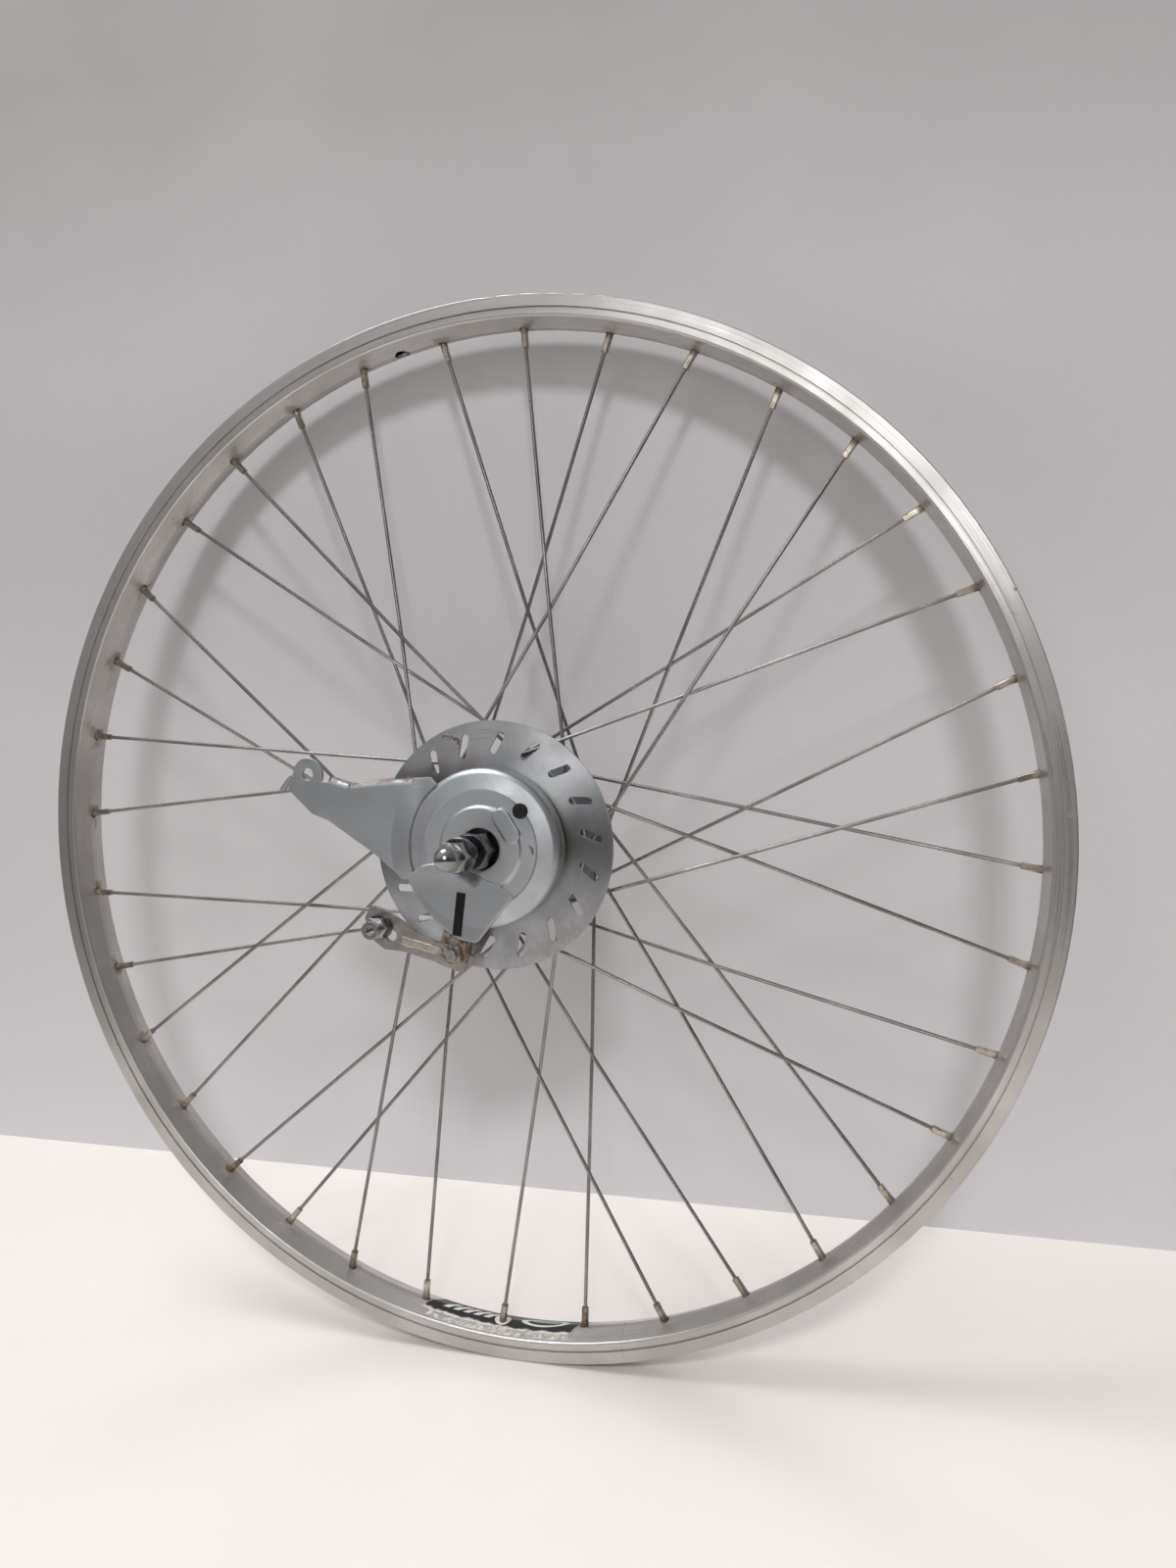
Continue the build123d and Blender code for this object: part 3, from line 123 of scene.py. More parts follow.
def startSurface(look):
    # two tones in clouds, a fine grain, and stains in patches; sizes in the look are millimetres
    base = surfaceLook
    material = bpy.data.materials.new(look["name"])
    material.use_nodes = True
    tree = material.node_tree
    tree.nodes.clear()
    shader = addNode(tree, "BsdfPrincipled", {
        "Metallic": look["metal"], "Specular IOR Level": look.get("gloss", 0.5)})
    output = addNode(tree, "OutputMaterial", {}, {"Surface": shader})
    coords = wheelCoords(tree)
    place = coords["place"]
    clouds = ramp(tree, noise(tree, place, perSize(look["cloud"]), base["cloudDetail"]), *base["cloudRange"])
    tones = {"data_type": "RGBA", 6: hexColour(look["dull"]), 7: hexColour(look["bright"])}
    tone = addNode(tree, "Mix", tones, {0: clouds})
    fine = perSize(look["grain"])
    if look.get("turned"):  # tool marks that run round the axle
        lines = addNode(tree, "CombineXYZ", {}, {
            "X": calc(tree, "MULTIPLY", coords["turn"], look["turned"]),
            "Y": calc(tree, "MULTIPLY", coords["radius"], fine),
            "Z": calc(tree, "MULTIPLY", coords["along"], fine)})
        grain = noise(tree, lines, 1.0, base["grainDetail"])
    else:
        grain = noise(tree, place, fine, base["grainDetail"])
    rough = ramp(tree, grain, *base["grainRange"], *look["rough"])
    smudged = calc(tree, "MULTIPLY_ADD", clouds, base["smudge"], rough)
    surface = {**coords, "look": look, "material": material, "tree": tree, "shader": shader, "output": output,
               "colour": tone.outputs[2], "rough": smudged, "height": grain, "metal": look["metal"]}
    patch = noise(tree, place, perSize(look["stainSize"]), base["stainDetail"], base["stainRoughness"])
    low, high = (edge - base["stainShift"] * look["stained"] for edge in base["stainRange"])
    stain = {"colour": look["stain"], "share": base["stainShare"], "rough": base["stainRough"], "metal": True}
    addLayer(surface, ramp(tree, patch, low, high), stain)
    return surface


def addLayer(surface, mask, coat):
    # lays a coat where the mask and the coat's own patches are: its colour covers by its share, it adds its
    # rough to the roughness, and it isn't metal unless it says so
    tree = surface["tree"]
    if "patch" in coat:
        mask = both(surface, mask, patchMask(surface, *coat["patch"]))
    part = calc(tree, "MULTIPLY", mask, coat["share"])
    tone = {"data_type": "RGBA", 7: hexColour(coat["colour"])}
    mix = addNode(tree, "Mix", tone, {0: part, 6: surface["colour"]})
    surface["colour"] = mix.outputs[2]
    surface["rough"] = calc(tree, "MULTIPLY_ADD", part, coat["rough"], surface["rough"])
    if not coat.get("metal") and surface["look"]["metal"] > 0:
        surface["metal"] = calc(tree, "SUBTRACT", surface["metal"], part)
        surface["metal"].node.use_clamp = True
    return part


def closeSurface(surface):
    # joins the layers to the shader: the grain is a bump of the look's depth, and edges are shaded as bends
    # of its bend
    tree, shader, look = surface["tree"], surface["shader"], surface["look"]
    join(tree, surface["colour"], shader.inputs["Base Color"])
    join(tree, surface["rough"], shader.inputs["Roughness"])
    if isinstance(surface["metal"], bpy.types.NodeSocket):
        join(tree, surface["metal"], shader.inputs["Metallic"])
    bump = addNode(tree, "Bump", {
        "Strength": look.get("strength", surfaceLook["strength"]), "Distance": look["depth"] * mm}, {
        "Height": surface["height"]})
    if look.get("bend"):
        bend = addNode(tree, "Bevel", {"samples": surfaceLook["bevelSamples"], "Radius": look["bend"] * mm})
        join(tree, bend, bump.inputs["Normal"])
    join(tree, bump, shader.inputs["Normal"])
    if look.get("rubbed"):  # rubbed in rings round the axle, so the shine fans out from the axle
        shader.inputs["Anisotropic"].default_value = look["rubbed"]
        shader.inputs["Anisotropic Rotation"].default_value = 0.25
        around = addNode(tree, "Tangent", {"direction_type": "RADIAL", "axis": "Y"})
        join(tree, around, shader.inputs["Tangent"])
    return surface["material"]


def markMask(surface, start, end, width, torn):
    # 1 on the line from start to end (X and Z in mm), 0 beyond the width; the edge is torn by a share of it
    tree, place, base = surface["tree"], surface["place"], surfaceLook
    line = Vector((end[0] - start[0], 0, end[1] - start[1])) * mm
    fromStart = vectorCalc(tree, "SUBTRACT", place, (start[0] * mm, 0, start[1] * mm))
    flat = vectorCalc(tree, "MULTIPLY", fromStart, (1, 0, 1))
    share = vectorCalc(tree, "DOT_PRODUCT", flat, tuple(line / line.length_squared))
    held = addNode(tree, "Clamp", {}, {0: share})
    foot = addNode(tree, "VectorMath", {"operation": "SCALE", 0: tuple(line)}, {"Scale": held})
    far = vectorCalc(tree, "DISTANCE", flat, foot)
    ragged = noise(tree, place, perSize(base["tearSize"] * width), base["tearDetail"], base["tearRoughness"])
    offset = ramp(tree, ragged, *base["tearRange"], -torn * width * mm, torn * width * mm)
    return ramp(tree, calc(tree, "ADD", far, offset), width * mm, base["core"] * width * mm)


def edgeMask(surface, size):
    # 1 where the normal of a rounded edge leaves the flat one, so along sharp edges
    tree = surface["tree"]
    rounded = addNode(tree, "Bevel", {"samples": surfaceLook["bevelSamples"], "Radius": size * mm})
    flat = addNode(tree, "NewGeometry").outputs["Normal"]
    return ramp(tree, vectorCalc(tree, "DOT_PRODUCT", rounded, flat), *surfaceLook["edgeSame"])


def upMask(surface, low, high):
    # 1 where the surface faces up, where water lies
    tree = surface["tree"]
    normal = addNode(tree, "SeparateXYZ", {}, {0: addNode(tree, "NewGeometry").outputs["Normal"]})
    return ramp(tree, normal.outputs["Z"], low, high)


def patchMask(surface, size, low, high):
    # 1 in loose patches of that size in mm
    tree, base = surface["tree"], surfaceLook
    patch = noise(tree, surface["place"], perSize(size), base["stainDetail"], base["tearRoughness"])
    return ramp(tree, patch, low, high)


def bandMask(surface, name, low, high):
    # 0 up to the low value of that coordinate and 1 from the high one on, both in mm
    return ramp(surface["tree"], surface[name], low * mm, high * mm)


def both(surface, *masks):
    # where all the masks are
    joined = masks[0]
    for mask in masks[1:]:
        joined = calc(surface["tree"], "MULTIPLY", joined, mask)
    return joined


def dress(material, *names):
    for name in names:
        nodes[name].data.materials.clear()
        nodes[name].data.materials.append(material)


def gridMesh(name, points, uv, material, closedU=False):
    # a (rows, columns, 3) array of points in metres becomes a quad mesh with a UV map
    rows, columns = points.shape[:2]
    index = np.arange(rows * columns).reshape(rows, columns)
    after = np.roll(index, -1, axis=1) if closedU else index[:, 1:]
    before = index if closedU else index[:, :-1]
    faces = np.stack([before[:-1], after[:-1], after[1:], before[1:]], axis=-1).reshape(-1, 4)
    mesh = bpy.data.meshes.new(name)
    mesh.from_pydata(points.reshape(-1, 3).tolist(), [], faces.tolist())
    corners = np.empty(len(mesh.loops), dtype=np.int32)
    mesh.loops.foreach_get("vertex_index", corners)
    layer = mesh.uv_layers.new(name="place")
    layer.data.foreach_set("uv", uv.reshape(-1, 2)[corners].astype(np.float32).ravel())
    mesh.polygons.foreach_set("use_smooth", np.ones(len(mesh.polygons), dtype=bool))
    mesh.materials.append(material)
    mesh.update()
    thing = bpy.data.objects.new(name, mesh)
    bpy.context.scene.collection.objects.link(thing)
    return thing


def thicken(thing, thickness):
    sheet = thing.modifiers.new("thickness", "SOLIDIFY")
    sheet.thickness = thickness * mm
    sheet.offset = 0


# Camera where the photograph was taken from, in the wheel's own frame
cameraLook = {"place": (0.2231, -0.6168, 0.0667), "looks": (-0.28003, 0.95830, -0.05699),
              "up": (0.0, 0.05937, 0.99824), "lens": 27.66, "sensor": 36, "clip": 0.01}


def makeCamera():
    c = cameraLook
    data = bpy.data.cameras.new("photoCamera")
    data.lens = c["lens"]
    data.sensor_width = c["sensor"]
    data.sensor_fit = "AUTO"
    data.clip_start = c["clip"]
    camera = bpy.data.objects.new("photoCamera", data)
    bpy.context.scene.collection.objects.link(camera)
    back = -Vector(c["looks"]).normalized()
    right = Vector(c["up"]).cross(back).normalized()
    matrix = camera.matrix_world.copy()
    for column, axis in enumerate((right, back.cross(right), back, Vector(c["place"]))):
        for row in range(3):
            matrix[row][column] = axis[row]
    camera.matrix_world = matrix
    bpy.context.scene.camera = camera


makeCamera()
bpy.context.scene.view_settings.view_transform = "Standard"
print("camera placed")


# Anodised aluminium, extruded and rolled to a hoop: satin silver, faint lines round the hoop, nicks on the
# brake track, rust that ran out of the nipple holes and flecks of old glue beside the label
rimLook = {
    "name": "anodised aluminium", "metal": 0.95, "bright": "#c6c3c1", "dull": "#b6b3af", "cloud": 42,
    "grain": 0.4, "turned": 3.0, "rough": (0.3, 0.44), "stain": "#a39b93", "stainSize": 30,
    "stained": 0.22, "depth": 0.02, "rubbed": 0.5, "holes": 36, "firstHole": -2.527, "crown": 275.2,
    "track": 279.6, "sideFace": 11.5, "halo": {"colour": "#6b4f38", "share": 0.75, "rough": 0.3},
    "haloReach": (6.5, 1.5), "haloScale": 170.0, "haloDetail": 4.0,
    "haloTear": (0.3, 0.7, -4 * mm, 4 * mm), "haloLeft": (0.25, -0.25, 0.35, 1.0),
    "nick": {"colour": "#4a443e", "share": 0.8, "rough": 0.3}, "nickSpacing": 13, "nickSize": 1.3,
    "nickCore": 0.03, "nickChance": 0.6, "nickDepth": -3.0,
    "groove": {"colour": "#5d564e", "share": 0.22, "rough": 0.2}, "grooveRadius": 279.05,
    "grooveWidth": 0.7, "seam": {"colour": "#5d564e", "share": 0.6, "rough": 0.2}, "seamTurn": -77.5,
    "seamWidth": 0.25,
    "glue": {"colour": "#d6d2cb", "share": 0.85, "rough": 0.3, "patch": (2.6, 0.47, 0.56)},
    "glueDirt": {"colour": "#6b4f38", "share": 0.5, "rough": 0.2, "patch": (5.5, 0.5, 0.64)},
    "glueTurns": (-101.5, -84.0), "glueAcross": (-10.4, -5.0),
}


def makeRimMaterial():
    s = rimLook
    surface = startSurface(s)
    tree, place, radius, turn, along = (surface[k] for k in ("tree", "place", "radius", "turn", "along"))
    crown = calc(tree, "LESS_THAN", radius, s["crown"] * mm)
    # rust: distance along the hoop and across it to the nearest hole
    step = 2 * math.pi / s["holes"]
    fromHole = calc(tree, "SUBTRACT", turn, math.radians(s["firstHole"]))
    nearest = calc(tree, "WRAP", fromHole, step / 2, -step / 2)
    offset = addNode(tree, "CombineXYZ", {}, {"X": calc(tree, "MULTIPLY", nearest, radius), "Y": along})
    shift = ramp(tree, noise(tree, place, s["haloScale"], s["haloDetail"]), *s["haloTear"])
    edge = calc(tree, "ADD", vectorCalc(tree, "LENGTH", offset), shift)
    halo = ramp(tree, edge, s["haloReach"][0] * mm, s["haloReach"][1] * mm)
    leftward = ramp(tree, surface["right"], *s["haloLeft"])  # the left half rusted more
    addLayer(surface, both(surface, halo, crown, leftward), s["halo"])
    # nicks: a dark dot in some cells of the brake track
    cells = addNode(tree, "TexVoronoi", {"Scale": perSize(s["nickSpacing"])}, {"Vector": place}).outputs
    dot = ramp(tree, cells["Distance"], s["nickSize"] / s["nickSpacing"], s["nickCore"])
    chance = addNode(tree, "SeparateColor", {}, {0: cells["Color"]})
    chosen = calc(tree, "GREATER_THAN", chance, s["nickChance"])
    onTrack = calc(tree, "GREATER_THAN", radius, s["track"] * mm)
    nicks = addLayer(surface, both(surface, dot, chosen, onTrack), s["nick"])
    # painted shade in the groove under the track, and grime in the hoop's joint
    outer = calc(tree, "GREATER_THAN", calc(tree, "ABSOLUTE", along), s["sideFace"] * mm)
    groove = calc(tree, "COMPARE", radius, s["grooveRadius"] * mm, s["grooveWidth"] / 2 * mm)
    addLayer(surface, both(surface, groove, outer), s["groove"])
    seam = calc(tree, "COMPARE", turn, math.radians(s["seamTurn"]), s["seamWidth"] / s["track"] / 2)
    addLayer(surface, seam, s["seam"])
    # old glue beside the label
    (first, last), (near, far) = s["glueTurns"], s["glueAcross"]
    beside = calc(tree, "COMPARE", turn, math.radians((first + last) / 2), math.radians((last - first) / 2))
    strip = calc(tree, "COMPARE", along, (near + far) / 2 * mm, (far - near) / 2 * mm)
    bySticker = both(surface, beside, strip, crown)
    addLayer(surface, bySticker, s["glue"])
    addLayer(surface, bySticker, s["glueDirt"])
    surface["height"] = calc(tree, "MULTIPLY_ADD", nicks, s["nickDepth"], surface["height"])
    return closeSurface(surface)


dress(makeRimMaterial(), "rim")
print("rim dressed")


# Drawn stainless wire: dull grey, brown where it meets the nipples and dirty at the hub
spokeLook = {
    "name": "drawn stainless wire", "metal": 1.0, "bright": "#9a9896", "dull": "#7c7a78", "cloud": 26,
    "grain": 0.8, "rough": (0.26, 0.42), "stain": "#5d554d", "stainSize": 12, "stained": 0.3,
    "depth": 0.03,
    "rimRust": {"colour": "#5a4534", "share": 0.65, "rough": 0.25, "patch": (7, 0.35, 0.6)},
    "rimBand": (246, 262),
    "hubDirt": {"colour": "#5a4534", "share": 0.45, "rough": 0.2, "patch": (6, 0.3, 0.6)},
    "hubBand": (62, 44),
}


def makeSpokeMaterial():
    s = spokeLook
    surface = startSurface(s)
    addLayer(surface, bandMask(surface, "radius", *s["rimBand"]), s["rimRust"])
    addLayer(surface, bandMask(surface, "radius", *s["hubBand"]), s["hubDirt"])
    return closeSurface(surface)


dress(makeSpokeMaterial(), "spokes_left_heads_in", "spokes_left_heads_out", "spokes_right_heads_in",
      "spokes_right_heads_out")


# Nickel plated brass, turned: each nipple has tarnished by its own amount, with brown dirt round its foot
nippleLook = {
    "name": "nickel plated brass", "metal": 1.0, "bright": "#c8c0b6", "dull": "#a2988c", "cloud": 5,
    "grain": 0.5, "rough": (0.22, 0.36), "stain": "#4f3f31", "stainSize": 2.6, "stained": 0.55,
    "depth": 0.04,
    "tarnish": {"colour": "#6e5c4b", "share": 0.95, "rough": 0.25, "metal": True, "patch": (3.5, 0.25, 0.6)},
    "tarnishRange": (0.15, 0.8), "tarnishLow": (0.15, -0.2, 0.45, 1.0),
    "foot": {"colour": "#3a2d22", "share": 0.85, "rough": 0.3, "patch": (2.5, 0.2, 0.55)},
    "footBand": (267.5, 270.6),
}


def makeNippleMaterial():
    s = nippleLook
    surface = startSurface(s)
    tree = surface["tree"]
    step = 2 * math.pi / rimLook["holes"]
    count = calc(tree, "MULTIPLY_ADD", surface["turn"], 1 / step, -math.radians(rimLook["firstHole"]) / step)
    chance = addNode(tree, "TexWhiteNoise", {"noise_dimensions": "1D"}, {"W": calc(tree, "ROUND", count)})
    own = ramp(tree, chance.outputs["Value"], *s["tarnishRange"])
    lower = ramp(tree, surface["up"], *s["tarnishLow"])  # the lower half tarnished more
    addLayer(surface, both(surface, own, lower), s["tarnish"])
    addLayer(surface, bandMask(surface, "radius", *s["footBand"]), s["foot"])
    return closeSurface(surface)


dress(makeNippleMaterial(), "spoke_nipples")
print("spokes and nipples dressed")


# Cold rolled sheet steel, rubbed in rings: its shine fans out; brown tints, one rust mark, a rusty edge
discLook = {
    "name": "cold rolled sheet steel", "metal": 1.0, "bright": "#c2c3c6", "dull": "#acaeb0", "cloud": 14,
    "grain": 0.35, "turned": 1.6, "rough": (0.34, 0.42), "stain": "#a39f98", "stainSize": 18,
    "stained": 0.3, "depth": 0.003, "rubbed": 0.9,
    "tint": {"colour": "#a08d76", "share": 0.28, "rough": 0.1, "metal": True},
    "tintMarks": [((-30, 36), (-12, 42), 9, 1.0), ((20, -57), (44, -43), 5, 1.0),
                  ((-14, -60), (-26, -54), 7, 1.0)],
    "rust": {"colour": "#4a3222", "share": 0.9, "rough": 0.4},
    "rustMarks": [((-25.5, 57.0), (-18.0, 55.2), 1.7, 0.9), ((-18.0, 55.0), (-17.0, 50.9), 1.7, 0.9)],
    "rimRust": {"colour": "#4a3222", "share": 0.5, "rough": 0.2, "patch": (9, 0.5, 0.66)},
    "rimBand": (63.8, 64.9),
}


def makeDiscMaterial():
    s = discLook
    surface = startSurface(s)
    for mark in s["tintMarks"]:
        addLayer(surface, markMask(surface, *mark), s["tint"])
    for mark in s["rustMarks"]:
        addLayer(surface, markMask(surface, *mark), s["rust"])
    addLayer(surface, bandMask(surface, "radius", *s["rimBand"]), s["rimRust"])
    return closeSurface(surface)


dress(makeDiscMaterial(), "cooling_disc")


# Zinc plated deep drawn sheet: satin silver-grey, scratched, a little rougher on the arm, with painted shade
# on the arm, skirt and lobe, rust on the arm's top lip, rust flecks, old grease on the skirt and oil round
# the nut
coverLook = {
    "name": "zinc plated sheet", "metal": 1.0, "bright": "#c0c3c6", "dull": "#aeb2b5", "cloud": 16,
    "grain": 0.3, "rough": (0.4, 0.5), "stain": "#a29f99", "stainSize": 14, "stained": 0.22,
    "depth": 0.03, "bend": 1.0,
    "scratch": {"colour": "#dcdfe0", "share": 0.5, "rough": -0.1, "metal": True},
    "scratchStretch": (60, 60, 900), "scratchTurn": (0, 0.6, 0), "scratchDetail": 2.0,
    "scratchRange": (0.66, 0.74),
    "arm": {"colour": "#a3a7aa", "share": 0.75, "rough": 0.06, "metal": True, "patch": (16, 0.2, 0.6)},
    "armBand": (-36, -50), "skirt": {"colour": "#9a9ea1", "share": 0.85, "rough": 0.0, "metal": True},
    "skirtBand": (-36, -30), "skirtRadius": (39.6, 40.6),
    "lobe": {"colour": "#9a9ea1", "share": 0.6, "rough": 0.0, "metal": True}, "lobeBand": (-14, -22),
    "lobeDepth": (-50.2, -50.7), "lip": {"colour": "#7a5232", "share": 0.8, "rough": 0.35},
    "lipDark": {"colour": "#4a3120", "share": 0.85, "rough": 0.1, "patch": (4, 0.48, 0.64)},
    "lipUp": (0.25, 0.6), "lipBand": (-24, -34), "lipPatch": (9, 0.36, 0.56),
    "fleck": {"colour": "#4a3120", "share": 0.9, "rough": 0.4},
    "fleckMarks": [((27.6, 0.8), (28.0, -1.6), 1.2, 0.8), ((26.4, 1.6), (26.8, 1.0), 0.7, 0.8)],
    "grease": {"colour": "#84833c", "share": 0.9, "rough": 0.05}, "greaseRadius": (40.2, 40.9),
    "greaseDark": {"colour": "#4d4c22", "share": 0.8, "rough": 0.0, "patch": (2.5, 0.5, 0.62)},
    "greaseDepth": (-40.2, -39.2), "greaseMark": ((33.0, 25.0), (41.5, -6.0), 5.5, 0.6),
    "oilRing": {"colour": "#211d19", "share": 0.8, "rough": 0.0, "patch": (5, 0.38, 0.55)},
    "oilRadius": (12.6, 10.8), "oil": {"colour": "#211d19", "share": 0.85, "rough": 0.0},
    "oilMark": ((-8.5, -12.0), (-3.5, -14.5), 5.0, 0.3),
}


def makeCoverMaterial():
    s = coverLook
    surface = startSurface(s)
    tree = surface["tree"]
    # thin bright scratches where stretched noise peaks
    stretched = addNode(tree, "Mapping", {"Rotation": s["scratchTurn"], "Scale": s["scratchStretch"]}, {
        0: surface["place"]})
    peaks = noise(tree, stretched, 1.0, s["scratchDetail"])
    addLayer(surface, ramp(tree, peaks, *s["scratchRange"]), s["scratch"])
    # painted shade: the arm, skirt and lobe darkened, the arm in patches and a little rougher
    addLayer(surface, bandMask(surface, "right", *s["armBand"]), s["arm"])
    skirt = both(surface, bandMask(surface, "right", *s["skirtBand"]),
                 bandMask(surface, "radius", *s["skirtRadius"]))
    addLayer(surface, skirt, s["skirt"])
    lobe = both(surface, bandMask(surface, "up", *s["lobeBand"]), bandMask(surface, "along", *s["lobeDepth"]))
    addLayer(surface, lobe, s["lobe"])
    # rust on the arm's lip, on the faces that look up, and in flecks
    lip = both(surface, upMask(surface, *s["lipUp"]), bandMask(surface, "right", *s["lipBand"]),
               patchMask(surface, *s["lipPatch"]))
    addLayer(surface, lip, s["lip"])
    addLayer(surface, lip, s["lipDark"])
    for mark in s["fleckMarks"]:
        addLayer(surface, markMask(surface, *mark), s["fleck"])
    # grease on the skirt's outside
    smear = both(surface, markMask(surface, *s["greaseMark"]),
                 bandMask(surface, "radius", *s["greaseRadius"]),
                 bandMask(surface, "along", *s["greaseDepth"]))
    addLayer(surface, smear, s["grease"])
    addLayer(surface, smear, s["greaseDark"])
    # black oil round the nut's hole and in a smudge below it
    addLayer(surface, bandMask(surface, "radius", *s["oilRadius"]), s["oilRing"])
    addLayer(surface, markMask(surface, *s["oilMark"]), s["oil"])
    return closeSurface(surface)


dress(makeCoverMaterial(), "brake_cover")
print("disc and cover dressed")


# Zinc plated strip, worn: grey, with a painted highlight along the lever's bead, rusty at the sheared edges
# and where the lever is riveted
leverLook = {
    "name": "worn zinc plated strip", "metal": 1.0, "bright": "#bcb9b5", "dull": "#9d9993", "cloud": 7,
    "grain": 0.4, "rough": (0.26, 0.42), "stain": "#7f786e", "stainSize": 6, "stained": 0.34,
    "depth": 0.04, "bend": 0.5,
    "bead": {"colour": "#e2dccf", "share": 0.6, "rough": -0.04, "metal": True},
    "beadMark": ((-43.0, -48.9), (-25.5, -53.0), 2.0, 0.25),
    "edge": {"colour": "#5e3e29", "share": 0.7, "rough": 0.3, "patch": (6, 0.4, 0.56)}, "edgeSize": 0.7,
    "top": {"colour": "#5e3e29", "share": 0.7, "rough": 0.3, "patch": (5, 0.4, 0.6)}, "topUp": (0.3, 0.7),
    "root": {"colour": "#5e3e29", "share": 0.7, "rough": 0.25, "patch": (6, 0.3, 0.55)},
    "rootDark": {"colour": "#33241b", "share": 0.9, "rough": 0.1, "patch": (4, 0.42, 0.56)},
    "rootMark": ((-17, -50), (-5, -58), 9, 0.9),
}


def makeLeverMaterial():
    s = leverLook
    surface = startSurface(s)
    # painted highlight: a pale cream line along the lever's bead, a touch glossier
    addLayer(surface, markMask(surface, *s["beadMark"]), s["bead"])
    addLayer(surface, edgeMask(surface, s["edgeSize"]), s["edge"])
    addLayer(surface, upMask(surface, *s["topUp"]), s["top"])
    root = markMask(surface, *s["rootMark"])
    addLayer(surface, root, s["root"])
    addLayer(surface, root, s["rootDark"])
    return closeSurface(surface)


dress(makeLeverMaterial(), "brake_lever", "cam_arm")

